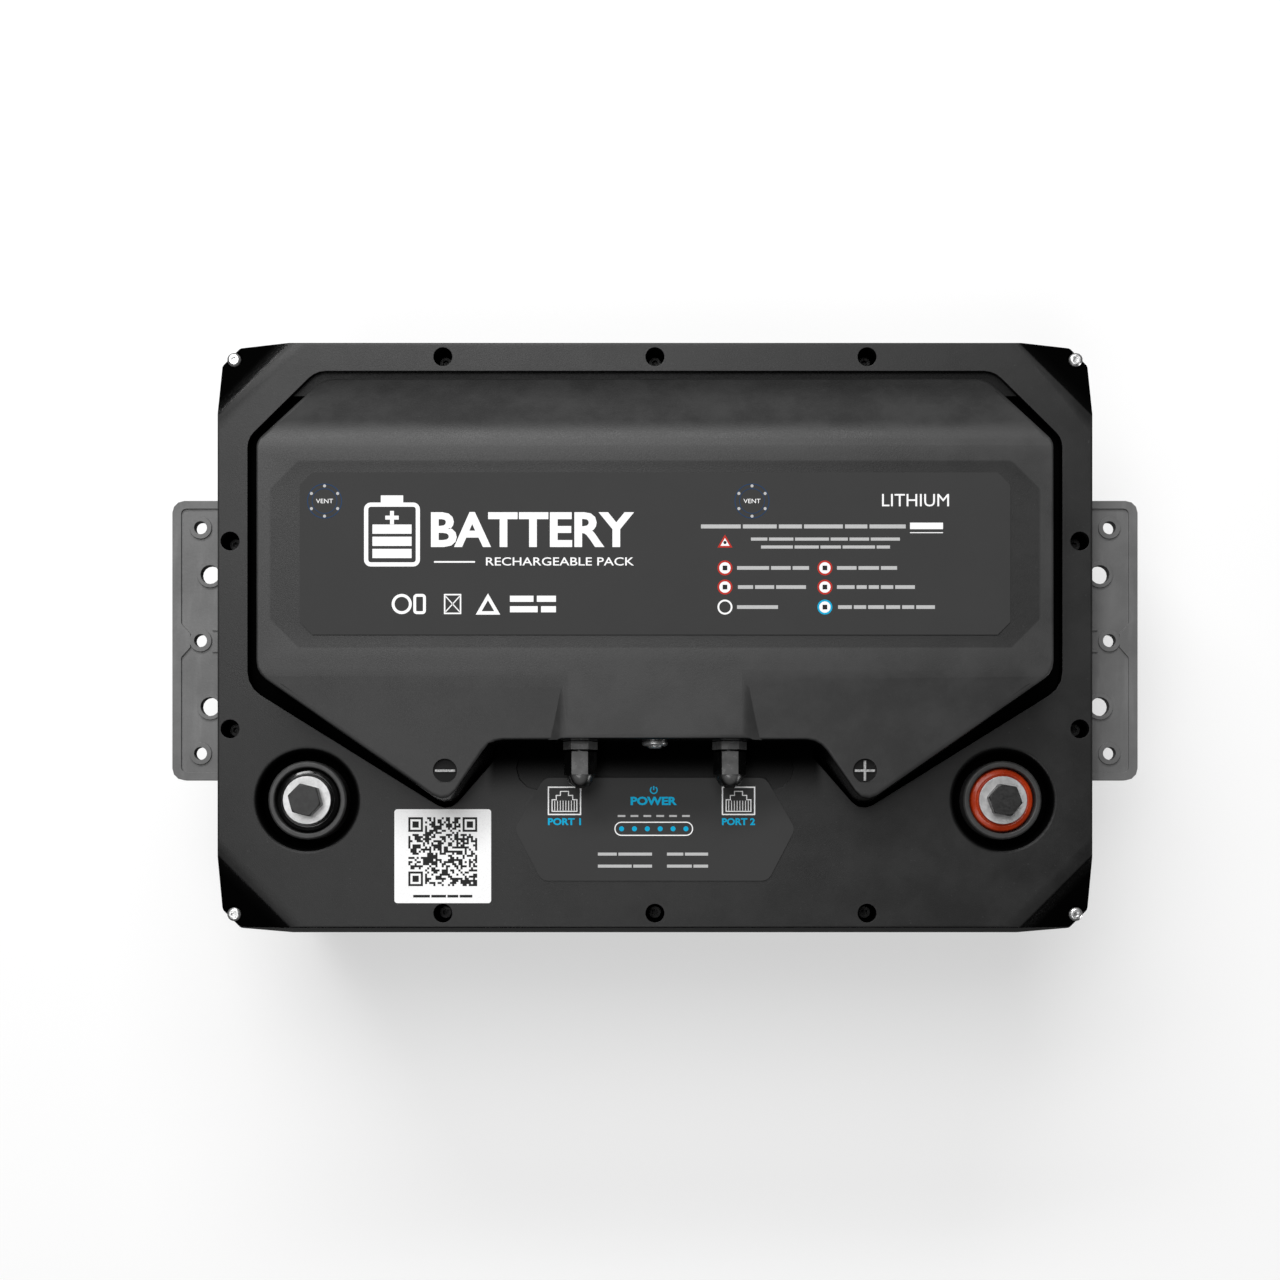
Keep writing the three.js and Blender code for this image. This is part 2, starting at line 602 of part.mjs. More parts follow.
// A round-headed screw with a hexagonal socket, its head resting at z 0.
function screw({ headR, headH, socketR, shankR, length }, dome = 0) {
  const rim = headH - dome;
  const head = turned([[0, 0], [headR, 0], [headR, rim], [headR - dome * 1.2, headH], [0, headH]], 14);
  const shank = turned(
    [[0, -length], [shankR - 0.8, -length], [shankR, -length + 1.5], [shankR, 0.5], [0, 0.5]],
    6,
  );
  return head.add(shank).subtract(drum(socketR, headH * 0.4, headH + 1, 6));
}

function post() {
  const { r, footZ, flangeR, flangeT, topZ, boreR, boreFootZ } = POST;
  const body = turned(
    [
      [0, footZ], [flangeR, footZ], [flangeR, footZ + flangeT],
      [r, footZ + flangeT], [r, topZ], [0, topZ],
    ],
    24,
  );
  return body.subtract(drum(boreR, boreFootZ, topZ + 1, 16));
}

const washerZ = POST.topZ + GAP;
const headZ = washerZ + WASHER.thick + GAP;

function bolt(turnDegrees) {
  const { acrossFlats, headH, shankR, length } = BOLT;
  const top = headZ + headH;
  const cone = turned([[0, headZ], [12, headZ], [12, top - 1.6], [acrossFlats / 2, top], [0, top]], 24);
  const head = hexagon(acrossFlats, headZ, top, turnDegrees).intersect(cone);
  const tip = headZ - length;
  const shank = turned(
    [[0, tip], [shankR - 1, tip], [shankR, tip + 1.5], [shankR, headZ + 1], [0, headZ + 1]],
    12,
  );
  return head.add(shank);
}

const insulator = () => {
  const { outerR, innerR, topZ } = INSULATOR;
  const z0 = LID.rimZ - TERMINAL.pocketDepth + GAP;
  return turned(
    [
      [innerR, z0], [outerR, z0], [outerR, topZ - 3], [outerR - 1.2, topZ - 1], [outerR - 3.4, topZ],
      [outerR - 4.4, topZ - 0.6], [innerR, topZ - 0.6], [innerR, z0],
    ], 36,
  );
};

const collar = () => {
  const { outerR, innerR, topZ } = COLLAR;
  const z0 = LID.rimZ - TERMINAL.pocketDepth + GAP;
  return turned(
    [
      [innerR, z0], [outerR, z0], [outerR, topZ - 1], [outerR - 1, topZ], [innerR + 0.6, topZ],
      [innerR, topZ - 0.6], [innerR, z0],
    ], 36,
  );
};

// ---------------------------------------------------------------- ports and power button

function glandBody() {
  const { collarAF, collarT, tubeR, boreR, reachIn, reachOut } = GLAND;
  const nutStart = collarT + GAP;
  const body = hexagon(collarAF, GAP, nutStart, FLAT_UP)
    .add(drum(tubeR, -reachIn, 1, 16))
    .add(drum(tubeR - 0.4, 1, reachOut, 16));
  return body.subtract(drum(boreR, -reachIn - 1, reachOut + 1, 16));
}

function glandNut() {
  const { acrossFlats, length, domeL, endR, boreR, gap } = NUT;
  const z0 = GLAND.collarT + GAP + gap;
  const z1 = z0 + length;
  const hex = hexagon(acrossFlats, z0, z1, FLAT_UP);
  const dome = turned(
    [
      [0, z1 - 0.5], [acrossFlats / 2, z1 - 0.5], [acrossFlats / 2, z1 + 1],
      [endR + 1.6, z1 + 4], [endR, z1 + domeL], [0, z1 + domeL],
    ],
    20,
  );
  const inside = drum(GLAND.tubeR, z0 - 1, GLAND.reachOut + 1, 16);
  return hex.add(dome).subtract(inside).subtract(drum(boreR, z0, z1 + domeL + 1, 16));
}

function glandPlug() {
  const end = GLAND.collarT + GAP + NUT.gap + NUT.length + NUT.domeL;
  const top = end + PLUG.proud;
  return turned(
    [[0, 2], [PLUG.r - 0.6, 2], [PLUG.r, 3], [PLUG.r, end + 0.4], [PLUG.r - 1, top], [0, top]],
    14,
  );
}

function buttonBezel() {
  const { bezelR, bezelT, barrelR, boreR, reachIn } = BUTTON;
  return turned(
    [
      [boreR, -reachIn], [barrelR, -reachIn], [barrelR, GAP], [bezelR, GAP], [bezelR, bezelT - 0.9],
      [bezelR - 0.9, bezelT], [boreR + 0.5, bezelT], [boreR, bezelT - 0.5], [boreR, -reachIn],
    ], 28,
  );
}

function buttonCap() {
  const { capR, bezelT, proud, reachIn } = BUTTON;
  return turned(
    [
      [0, -reachIn + 8], [capR, -reachIn + 8], [capR, bezelT + proud - 1],
      [capR - 0.8, bezelT + proud - 0.3], [capR - 1.6, bezelT + proud], [0, bezelT + proud],
    ], 20,
  );
}

// The small board behind the front wall that carries both data jacks.
function portBoard() {
  const jackBackY = DECK.frontY + GLAND.reachIn + 1;
  const board = block(-56, 56, jackBackY + 16, jackBackY + 17.6, PORT_Z - 12, PORT_Z + 10);
  const jack = (x) =>
    block(x - 8, x + 8, jackBackY, jackBackY + 16.5, PORT_Z - 7, PORT_Z + 7)
      .subtract(block(x - 6, x + 6, jackBackY - 1, jackBackY + 12, PORT_Z - 4, PORT_Z + 4));
  return union([board, jack(-GLAND.x), jack(GLAND.x)]);
}

// ---------------------------------------------------------------- labels and light bar

const mainLabel = () => {
  const z0 = DECK.topZ - RECESS.depth + GAP;
  const shape = {
    ...RECESS,
    halfX: RECESS.halfX - 0.4,
    backY: RECESS.backY - 0.4,
    frontY: RECESS.frontY + 0.4,
  };
  return prism(cutFrame(shape), z0, z0 + FILM);
};

const panelLabel = () =>
  prism(rounded(mirrored(PANEL.map(([x, y]) => [x, y, 6]))), LID.rimZ + GAP, LID.rimZ + GAP + FILM);

function lightBar() {
  const { halfX, halfY, y, footZ, dots, pitch, dotR } = LIGHT_BAR;
  let bar = block(-halfX, halfX, y - halfY, y + halfY, footZ, LID.rimZ - 1);
  for (let i = 0; i < dots; i++) {
    const x = (i - (dots - 1) / 2) * pitch;
    bar = bar.add(drum(dotR, LID.rimZ - 2, LID.rimZ, 10).translate([x, y, 0]));
  }
  return bar;
}

// ---------------------------------------------------------------- cells and electronics

function cell() {
  const halfX = CELL.x / 2 - CELL.clearance;
  const halfY = CELL.y / 2 - CELL.clearance;
  const can = prism(
    rounded([[halfX, halfY, 2.5], [-halfX, halfY, 2.5], [-halfX, -halfY, 2.5], [halfX, -halfY, 2.5]], 1),
    0,
    CELL.z,
  );
  const lug = (y) => drum(CELL.postR, CELL.z - 1, CELL.z + CELL.postH, 8).translate([0, y, 0]);
  const vent = drum(CELL.ventR, CELL.z - 0.6, CELL.z + 1, 8);
  return can.subtract(vent).add(lug(CELL.postY)).add(lug(-CELL.postY));
}

// Sixteen cells in two rows of eight.
const cellPlaces = Array.from({ length: 2 * CELL.perRow }, (_, i) => ({
  x: ((i % CELL.perRow) - (CELL.perRow - 1) / 2) * CELL.x,
  y: (i < CELL.perRow ? -1 : 1) * (CELL.y / 2),
}));

function busbarCarrier() {
  const z0 = CELL_FOOT_Z + CELL.z + CELL.postH + GAP;
  const z1 = z0 + BUSBAR.plateT;
  let carrier = block(-199, 199, -150, 150, z0, z1);
  const rows = [-1, 1].flatMap((side) => [-1, 1].map((end) => side * (CELL.y / 2) + end * CELL.postY));
  rows.forEach((y, row) => {
    const pairs = row % 2 ? 4 : 3;
    for (let k = 0; k < pairs; k++) {
      const x = (k - (pairs - 1) / 2) * 2 * CELL.x;
      carrier = carrier.add(
        centredBlock(BUSBAR.halfX, BUSBAR.halfY, z1 - 0.5, z1 + BUSBAR.thick).translate([x, y, 0]),
      );
    }
  });
  return carrier;
}

function clampBand() {
  const innerX = (CELL.perRow * CELL.x) / 2 + GAP;
  const innerY = CELL.y + 0.2;
  return centredBlock(innerX + CLAMP.plate, innerY + CLAMP.strap, CLAMP.footZ, CLAMP.topZ)
    .subtract(centredBlock(innerX, innerY, CLAMP.footZ - 1, CLAMP.topZ + 1));
}

function batteryManager() {
  const { halfX, backY, frontY, footZ, baseT, topZ, fins, finT } = BMS;
  let module = block(-halfX, halfX, frontY, backY, footZ, footZ + baseT);
  for (let i = 0; i < fins; i++) {
    const x = ((i - (fins - 1) / 2) * 2 * (halfX - finT)) / (fins - 1);
    module = module.add(block(x - finT / 2, x + finT / 2, frontY + 6, backY - 6, footZ + baseT - 1, topZ));
  }
  return module;
}

// ---------------------------------------------------------------- assembly

const pack = new THREE.Group();
const place = (name, solid, surface, at = [0, 0, 0]) => {
  const mesh = meshOf(name, solid, surface);
  mesh.position.set(...at);
  pack.add(mesh);
};

place("lower_case", buildTub(), TUB_PLASTIC);
place("lid", buildLid(), BLACK_PLASTIC);
place("lid_gasket", buildGasket(), RUBBER);

const ear = buildEar();
place("mounting_ear_right", ear, EAR_METAL);
place("mounting_ear_left", ear.rotate([0, 0, 180]), EAR_METAL);

RIM_SCREWS.forEach(([x, y], i) => {
  const number = String(i + 1).padStart(2, "0");
  place(`rim_screw_${number}`, screw(RIM_SCREW), DARK_STEEL, [x, y, WELL.floorZ + GAP]);
});
for (const [sx, sy] of CORNERS) {
  const name = `corner_screw_${sy < 0 ? "front" : "back"}_${sx < 0 ? "left" : "right"}`;
  const [x, y] = cornerScrewAt(sx, sy);
  place(name, screw(CORNER_SCREW, 1), STEEL, [x, y, CORNER_SEAT.z + GAP]);
}

for (const [pole, side, ringMaterial] of [["negative", -1, GLOSS_BLACK], ["positive", 1, RED_PLASTIC]]) {
  const at = [side * TERMINAL.x, TERMINAL.y, 0];
  place(`terminal_collar_${pole}`, collar(), BLACK_PLASTIC, at);
  place(`terminal_insulator_${pole}`, insulator(), ringMaterial, at);
  place(`terminal_post_${pole}`, post(), BRASS, at);
  const washer = ringBody(WASHER.r, WASHER.boreR, washerZ, washerZ + WASHER.thick);
  place(`terminal_washer_${pole}`, washer, STEEL, at);
  place(`terminal_bolt_${pole}`, bolt(BOLT_TURN[pole]), DARK_STEEL, at);
}

[-1, 1].forEach((side, i) => {
  const n = i + 1;
  place(`gland_body_${n}`, layForward(glandBody(), side * GLAND.x), GLAND_NYLON);
  place(`gland_nut_${n}`, layForward(glandNut(), side * GLAND.x), GLAND_NYLON);
  place(`gland_plug_${n}`, layForward(glandPlug(), side * GLAND.x), RUBBER);
});
place("power_button_bezel", layForward(buttonBezel(), 0), STEEL);
place("power_button_cap", layForward(buttonCap(), 0), STEEL);
place("port_board", portBoard(), BOARD);

place("main_label", mainLabel(), LABEL_FILM);
place("panel_label", panelLabel(), LABEL_FILM);
place("light_bar", lightBar(), BLUE_LENS);

cellPlaces.forEach(({ x, y }, i) => {
  place(`cell_${String(i + 1).padStart(2, "0")}`, cell(), CELL_WRAP, [x, y, CELL_FOOT_Z]);
});
place("busbar_carrier", busbarCarrier(), BOARD);
place("cell_clamp", clampBand(), ALUMINIUM);
place("battery_manager", batteryManager(), ALUMINIUM);

export default pack;
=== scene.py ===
"""The looks of the battery pack: materials, fine edges, prints, sticker, signs, floor, light and camera.

Places on the pack are in millimetres in the pack's own frame, and MM turns them into metres.
"""

import json
import math
import random

import bmesh
import bpy
from mathutils import Matrix, Vector


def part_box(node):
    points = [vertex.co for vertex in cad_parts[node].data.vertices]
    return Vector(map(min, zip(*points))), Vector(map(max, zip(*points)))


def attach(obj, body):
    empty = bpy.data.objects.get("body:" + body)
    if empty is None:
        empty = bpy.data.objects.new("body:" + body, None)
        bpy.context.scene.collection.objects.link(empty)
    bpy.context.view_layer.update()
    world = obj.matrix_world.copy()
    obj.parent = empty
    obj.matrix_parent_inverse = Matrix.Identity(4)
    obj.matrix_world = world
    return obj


MM = 0.001

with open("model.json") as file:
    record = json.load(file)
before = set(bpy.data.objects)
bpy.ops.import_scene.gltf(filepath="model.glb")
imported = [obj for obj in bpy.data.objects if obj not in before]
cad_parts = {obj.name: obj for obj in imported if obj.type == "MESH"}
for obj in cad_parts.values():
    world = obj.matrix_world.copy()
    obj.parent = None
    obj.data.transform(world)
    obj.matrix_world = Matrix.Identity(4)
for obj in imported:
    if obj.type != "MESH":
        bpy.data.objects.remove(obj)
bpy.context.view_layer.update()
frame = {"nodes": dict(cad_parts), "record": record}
nodes = frame["nodes"]
BODY = "pack"

# ---------------------------------------------------------------- levels and places on the lid, in mm

FILM_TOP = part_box("main_label")[1][2] / MM
PANEL_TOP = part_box("panel_label")[1][2] / MM
PANEL_FILM_HEIGHT = 0.7  # how far the panel film stands above the rim
RIM_Z = PANEL_TOP - PANEL_FILM_HEIGHT
SIGN_FLOOR_Z = 193.9  # floor of the two round recesses by the terminals
CORNER_LINE = 377  # |x| + |y| where the corner facets start
TRAY = {"y": 40.5, "half_x": 212, "half_y": 51, "cut": 15}  # outer edge of the label tray's lip
POCKET = {"x": 200.2, "y": -95.0, "r": 28.6}  # the two terminal pockets, at +x and -x
PORT_BAY = {"half_x": 92, "front_y": -96, "wall_y": -70, "top_z": 171}  # shaded more towards the wall
GROOVE_TOP_Z = 169.6  # the lid is shaded from here
GROOVE_DARK_Z = 165.2  # down to here, where it is black
DECK_TONE_FROM_Z = 172  # the moulding's tone changes from the rim's
DECK_TONE_AT_Z = 190  # to the deck's

# ---------------------------------------------------------------- node-tree helpers


class Surface:
    """A Principled material, with short calls for the nodes that feed it."""

    def __init__(self, name, color, roughness, metallic=0.0, **sockets):
        self.material = bpy.data.materials.new(name)
        self.material.use_nodes = True
        self.tree = self.material.node_tree
        self.shader = self.tree.nodes["Principled BSDF"]
        self.shader.inputs["Base Color"].default_value = (*color, 1)
        self.shader.inputs["Roughness"].default_value = roughness
        self.shader.inputs["Metallic"].default_value = metallic
        for socket, value in sockets.items():
            self.shader.inputs[socket.replace("_", " ")].default_value = value
        coordinates = self.node("ShaderNodeTexCoord")
        self.place = coordinates.outputs["Object"]
        self.facing = coordinates.outputs["Normal"]
        self.bumped = None

    def node(self, kind, **settings):
        made = self.tree.nodes.new(kind)
        for key, value in settings.items():
            setattr(made, key, value)
        return made

    def link(self, output, target):
        self.tree.links.new(output, target)

    def noise(self, size_mm, detail=2.0, roughness=0.5, stretch=(1, 1, 1)):
        """Noise whose features are about size_mm across. Gives the factor."""
        mapping = self.node("ShaderNodeMapping")
        mapping.inputs["Scale"].default_value = [s / (size_mm * MM) for s in stretch]
        self.link(self.place, mapping.inputs["Vector"])
        texture = self.node("ShaderNodeTexNoise")
        texture.inputs["Scale"].default_value = 1.0
        texture.inputs["Detail"].default_value = detail
        texture.inputs["Roughness"].default_value = roughness
        self.link(mapping.outputs["Vector"], texture.inputs["Vector"])
        return texture.outputs["Fac"]

    def part(self, vector, axis):
        """The X, Y or Z of a vector."""
        split = self.node("ShaderNodeSeparateXYZ")
        self.link(vector, split.inputs[0])
        return split.outputs[axis]

    def height(self, low_mm, high_mm):
        """0 below low_mm above the base, 1 above high_mm, smooth between."""
        return self.ramp(self.part(self.place, "Z"), 0, 1, low_mm * MM, high_mm * MM)

    def below(self, value, edge_mm, blur_mm):
        """1 where a length is under edge_mm, 0 from blur_mm further on."""
        return self.ramp(value, 1, 0, edge_mm * MM, (edge_mm + blur_mm) * MM)

    def distance(self, x_mm, y_mm):
        """How far the point is from an upright line, in metres."""
        shift = self.node("ShaderNodeVectorMath", operation="SUBTRACT")
        self.link(self.place, shift.inputs[0])
        shift.inputs[1].default_value = (x_mm * MM, y_mm * MM, 0)
        x, y = self.part(shift.outputs[0], "X"), self.part(shift.outputs[0], "Y")
        squares = self.maths("ADD", self.maths("MULTIPLY", x, x), self.maths("MULTIPLY", y, y))
        return self.maths("SQRT", squares, 0)

    def ramp(self, factor, low, high, start=0.3, end=0.7):
        """Maps a factor to a number from low to high."""
        node = self.node("ShaderNodeMapRange", clamp=True, interpolation_type="SMOOTHSTEP")
        node.inputs["From Min"].default_value = start
        node.inputs["From Max"].default_value = end
        node.inputs["To Min"].default_value = low
        node.inputs["To Max"].default_value = high
        self.link(factor, node.inputs["Value"])
        return node.outputs["Result"]

    def maths(self, operation, a, b):
        node = self.node("ShaderNodeMath", operation=operation)
        for value, socket in ((a, node.inputs[0]), (b, node.inputs[1])):
            if isinstance(value, (int, float)):
                socket.default_value = value
            else:
                self.link(value, socket)
        return node.outputs[0]

    def product(self, first, *rest):
        for factor in rest:
            first = self.maths("MULTIPLY", first, factor)
        return first

    def blend(self, factor, low, high):
        """A colour between low and high; each is a colour or a socket."""
        node = self.node("ShaderNodeMix", data_type="RGBA", clamp_factor=True)
        self.link(factor, node.inputs[0])
        for value, socket in ((low, node.inputs[6]), (high, node.inputs[7])):
            if isinstance(value, tuple):
                socket.default_value = (*value, 1)
            else:
                self.link(value, socket)
        return node.outputs[2]

    def color(self, output):
        self.link(output, self.shader.inputs["Base Color"])

    def roughness(self, output):
        self.link(output, self.shader.inputs["Roughness"])

    def shine(self, output):
        self.link(output, self.shader.inputs["Specular IOR Level"])

    def bump(self, height, depth_mm, strength=1.0):
        node = self.node("ShaderNodeBump")
        node.inputs["Strength"].default_value = strength
        node.inputs["Distance"].default_value = depth_mm * MM
        self.link(height, node.inputs["Height"])
        if self.bumped:
            self.link(self.bumped, node.inputs["Normal"])
        self.bumped = node.outputs["Normal"]
        self.link(self.bumped, self.shader.inputs["Normal"])


def grey(level):
    return (level, level, level)


# ---------------------------------------------------------------- materials

LID_SHEEN = 0.35  # specular level of the bare moulding
LID_BLACK = 0.001  # painted shade: the colour of the groove, the pockets, the port bay, steep walls and corner facets
POLISH = 0.24  # how much less rough the polished faces are


def shade_by_ports(s, off_x, y):
    """1 against the wall between the ports, 0 away from it and on everything higher."""
    across = s.below(off_x, PORT_BAY["half_x"], 6)
    towards_wall = s.ramp(y, 0, 1, PORT_BAY["front_y"] * MM, PORT_BAY["wall_y"] * MM)
    low = s.below(s.part(s.place, "Z"), PORT_BAY["top_z"], 3)
    in_front = s.below(y, 0, 20)
    return s.product(across, towards_wall, low, in_front)


def label_tray(s, off_x, y):
    """1 inside the tray's outline, a rectangle with its corners cut off, 0 outside."""
    off_y = s.maths("ABSOLUTE", s.maths("SUBTRACT", y, TRAY["y"] * MM), 0)
    beside_cuts = s.below(s.maths("ADD", off_x, off_y), TRAY["half_x"] + TRAY["half_y"] - TRAY["cut"], 2)
    return s.product(s.below(off_x, TRAY["half_x"], 2), s.below(off_y, TRAY["half_y"], 1.5), beside_cuts)


def lid_plastic():
    """Black moulding with a fine sparked texture and specks of dust and scuffs. It is lighter on the deck
    than on the rim, and the lip of the label tray is darker as painted shade. The groove, the terminal
    pockets and the port bay are painted black as shade, without sheen. Steep walls and the corner facets
    are polished and painted black as shade."""
    s = Surface("lid_plastic", grey(0.015), 0.5, Specular_IOR_Level=LID_SHEEN)
    grain = s.noise(0.7, detail=4, roughness=0.6)
    cloud = s.noise(30, detail=5, roughness=0.65)
    speck = s.noise(1.9, detail=3, roughness=0.7)
    x, y = s.part(s.place, "X"), s.part(s.place, "Y")
    off_x = s.maths("ABSOLUTE", x, 0)

    mottle = s.ramp(cloud, 0, 1, 0.35, 0.68)
    rim = s.blend(mottle, grey(0.0095), grey(0.014))
    deck = s.blend(mottle, grey(0.027), grey(0.037))
    # painted shade: the lip of the label tray is darker than the deck around it
    lip = s.blend(mottle, grey(0.011), grey(0.016))
    high = s.blend(label_tray(s, off_x, y), deck, lip)
    # lighter from the rim's height up to the deck's
    tone = s.blend(s.height(DECK_TONE_FROM_Z, DECK_TONE_AT_Z), rim, high)
    dusty = s.blend(s.ramp(speck, 0, 0.5, 0.64, 0.8), tone, grey(0.06))

    # painted shade: black against the wall between the ports and down in the groove
    by_ports = shade_by_ports(s, off_x, y)
    out_of_groove = s.height(GROOVE_DARK_Z, GROOVE_TOP_Z)
    raised = s.blend(out_of_groove, grey(LID_BLACK), s.blend(by_ports, dusty, grey(LID_BLACK)))

    # painted shade: the corner facets and steep walls are black and glossier, but slopes that face the back
    # stay lit
    from_middle = s.maths("ADD", off_x, s.maths("ABSOLUTE", y, 0))
    facet = s.maths("SUBTRACT", 1, s.below(from_middle, CORNER_LINE, 2))
    facing_back = s.maths("MULTIPLY", s.maths("MAXIMUM", s.part(s.facing, "Y"), 0), 0.5)
    steep = s.ramp(s.maths("ADD", s.part(s.facing, "Z"), facing_back), 1, 0, 0.5, 0.8)
    # painted shade: the terminal pockets are black
    left_pocket, right_pocket = (
        s.below(s.distance(side * POCKET["x"], POCKET["y"]), POCKET["r"], 3) for side in (-1, 1))
    pockets = s.maths("MAXIMUM", left_pocket, right_pocket)
    polished_and_shaded = s.maths("MAXIMUM", s.maths("MAXIMUM", facet, steep), pockets)
    s.color(s.blend(polished_and_shaded, raised, grey(LID_BLACK)))

    matt = s.maths("ADD", s.ramp(cloud, 0.42, 0.5), s.ramp(grain, -0.05, 0.05))
    s.roughness(s.maths("SUBTRACT", matt, s.maths("MULTIPLY", polished_and_shaded, POLISH)))
    # painted shade: the port bay, the pockets and the groove lose their sheen
    open_air = s.maths("SUBTRACT", 1, s.maths("MAXIMUM", by_ports, pockets))
    s.shine(s.maths("MULTIPLY", s.maths("MULTIPLY", out_of_groove, open_air), LID_SHEEN))
    s.bump(grain, 0.09)
    return s.material


def tub_plastic():
    """The lower case, with painted light: lighter where it faces up, darker on its sides."""
    s = Surface("tub_plastic", grey(0.03), 0.5, Specular_IOR_Level=0.35)
    cloud = s.noise(45, detail=3)
    sides = s.blend(s.ramp(cloud, 0, 1), grey(0.02), grey(0.03))
    flange = s.blend(s.ramp(cloud, 0, 1), grey(0.05), grey(0.06))
    # painted light: faces that look up are lighter
    s.color(s.blend(s.ramp(s.part(s.facing, "Z"), 0, 1, 0.6, 0.9), sides, flange))
    s.roughness(s.ramp(cloud, 0.5, 0.62))
    s.bump(s.noise(0.6, detail=3), 0.05)
    return s.material


def rubber():
    s = Surface("seal_rubber", grey(0.012), 0.8, Specular_IOR_Level=0.2)
    dust = s.noise(3, detail=3)
    s.color(s.blend(s.ramp(dust, 0, 1, 0.45, 0.8), grey(0.010), (0.022, 0.021, 0.020)))
    s.roughness(s.ramp(dust, 0.72, 0.88))
    s.bump(s.noise(0.4), 0.03)
    return s.material


def ear_metal():
    """Grey paint over a cast surface: pitted, with a lighter tone where it is worn."""
    s = Surface("cast_ear", grey(0.15), 0.5, Specular_IOR_Level=0.4)
    cast = s.noise(1.5, detail=4, roughness=0.65)
    cloud = s.noise(22, detail=3)
    streak = s.noise(5, detail=4, stretch=(1, 0.14, 1))
    base = s.blend(s.ramp(cloud, 0, 1), grey(0.11), grey(0.135))
    s.color(s.blend(s.ramp(streak, 0, 0.35, 0.5, 0.8), base, grey(0.2)))
    s.roughness(s.ramp(cast, 0.42, 0.6))
    s.bump(cast, 0.14, 0.7)
    return s.material


def insulator(name, low, high, rough):
    s = Surface(name, low, rough, Specular_IOR_Level=0.5)
    swirl = s.noise(9, detail=3)
    s.color(s.blend(s.ramp(swirl, 0, 1), low, high))
    s.roughness(s.ramp(s.noise(3, detail=2), rough - 0.04, rough + 0.06))
    s.bump(s.noise(0.7), 0.01)
    return s.material


def plated(name, dark, light, rough, metallic=1.0):
    """Plated or machined metal, lightly stained."""
    s = Surface(name, dark, rough, metallic)
    stain = s.noise(4, detail=4, roughness=0.6)
    s.color(s.blend(s.ramp(stain, 0, 1), dark, light))
    s.roughness(s.ramp(s.noise(1.2, detail=3), rough - 0.08, rough + 0.1))
    s.bump(s.noise(0.35, detail=2), 0.015)
    return s.material


def film():
    """Printed film: flat dark grey, almost without sheen."""
    s = Surface("label_film", grey(0.05), 0.6, Specular_IOR_Level=0.06)
    wave = s.noise(30, detail=2)
    s.color(s.blend(s.ramp(wave, 0, 1), grey(0.044), grey(0.046)))
    s.roughness(s.ramp(wave, 0.56, 0.62))
    s.bump(s.noise(0.3), 0.004)
    return s.material


def ink(name, color):
    s = Surface(name, color, 0.5, Specular_IOR_Level=0.1)
    worn = s.noise(0.8, detail=3)
    faded = tuple(c * 0.92 for c in color)
    s.color(s.blend(s.ramp(worn, 0, 1, 0.45, 0.8), color, faded))
    s.roughness(s.ramp(worn, 0.48, 0.58))
    return s.material


def lens():
    s = Surface("blue_lens", (0.01, 0.28, 0.55), 0.25)
    depth = s.noise(1.2)
    s.color(s.blend(s.ramp(depth, 0, 1), (0.008, 0.22, 0.46), (0.02, 0.38, 0.68)))
    s.roughness(s.ramp(depth, 0.2, 0.3))
    return s.material


def nylon(name, black_at, grey_at):
    """Glossy black nylon with painted light: grey on faces that look up, black on the rest. The two limits
    are the normal's Z.
    """
    s = Surface(name, grey(0.05), 0.3, Specular_IOR_Level=0.6)
    cloud = s.noise(6, detail=3)
    lit_top_tone = s.blend(s.ramp(cloud, 0, 1), grey(0.075), grey(0.095))
    # painted light: faces that look up are grey, the others black
    s.color(s.blend(s.ramp(s.part(s.facing, "Z"), 0, 1, black_at, grey_at), grey(0.002), lit_top_tone))
    s.roughness(s.ramp(cloud, 0.2, 0.3))
    s.bump(s.noise(0.5), 0.02)
    return s.material


def board():
    s = Surface("circuit_board", (0.01, 0.09, 0.04), 0.4)
    weave = s.noise(2, detail=3, stretch=(1, 4, 1))
    s.color(s.blend(s.ramp(weave, 0, 1), (0.008, 0.07, 0.03), (0.015, 0.12, 0.055)))
    s.roughness(s.ramp(weave, 0.32, 0.46))
    s.bump(weave, 0.03)
    return s.material


def cell_wrap():
    s = Surface("cell_wrap", (0.01, 0.06, 0.28), 0.35)
    wrinkle = s.noise(14, detail=4, stretch=(1, 1, 0.25))
    s.color(s.blend(s.ramp(wrinkle, 0, 1), (0.008, 0.05, 0.24), (0.014, 0.08, 0.34)))
    s.roughness(s.ramp(wrinkle, 0.28, 0.42))
    s.bump(wrinkle, 0.15, 0.5)
    return s.material


# By material slot.
MATERIALS = {
    "lid_plastic": lid_plastic(),
    "tub_plastic": tub_plastic(),
    "seal_rubber": rubber(),
    "cast_ear": ear_metal(),
    "red_insulator": insulator("red_insulator", (0.36, 0.028, 0.004), (0.44, 0.04, 0.007), 0.25),
    "black_insulator": insulator("black_insulator", grey(0.002), grey(0.004), 0.16),
    "brass_post": plated("brass_post", (0.45, 0.33, 0.12), (0.6, 0.46, 0.2), 0.35),
    "zinc_washer": plated("zinc_washer", grey(0.5), grey(0.65), 0.4, metallic=0.6),
    "dark_steel": plated("dark_steel", grey(0.018), grey(0.028), 0.4, metallic=0.3),
    "stainless": plated("stainless", grey(0.75), grey(0.9), 0.32, metallic=0.9),
    "label_film": film(),
    "blue_lens": lens(),
    "gland_nylon": nylon("gland_nylon", 0.72, 0.9),
    "circuit_board": board(),
    "cell_wrap": cell_wrap(),
    "bare_aluminium": plated("bare_aluminium", grey(0.5), grey(0.62), 0.4),
}
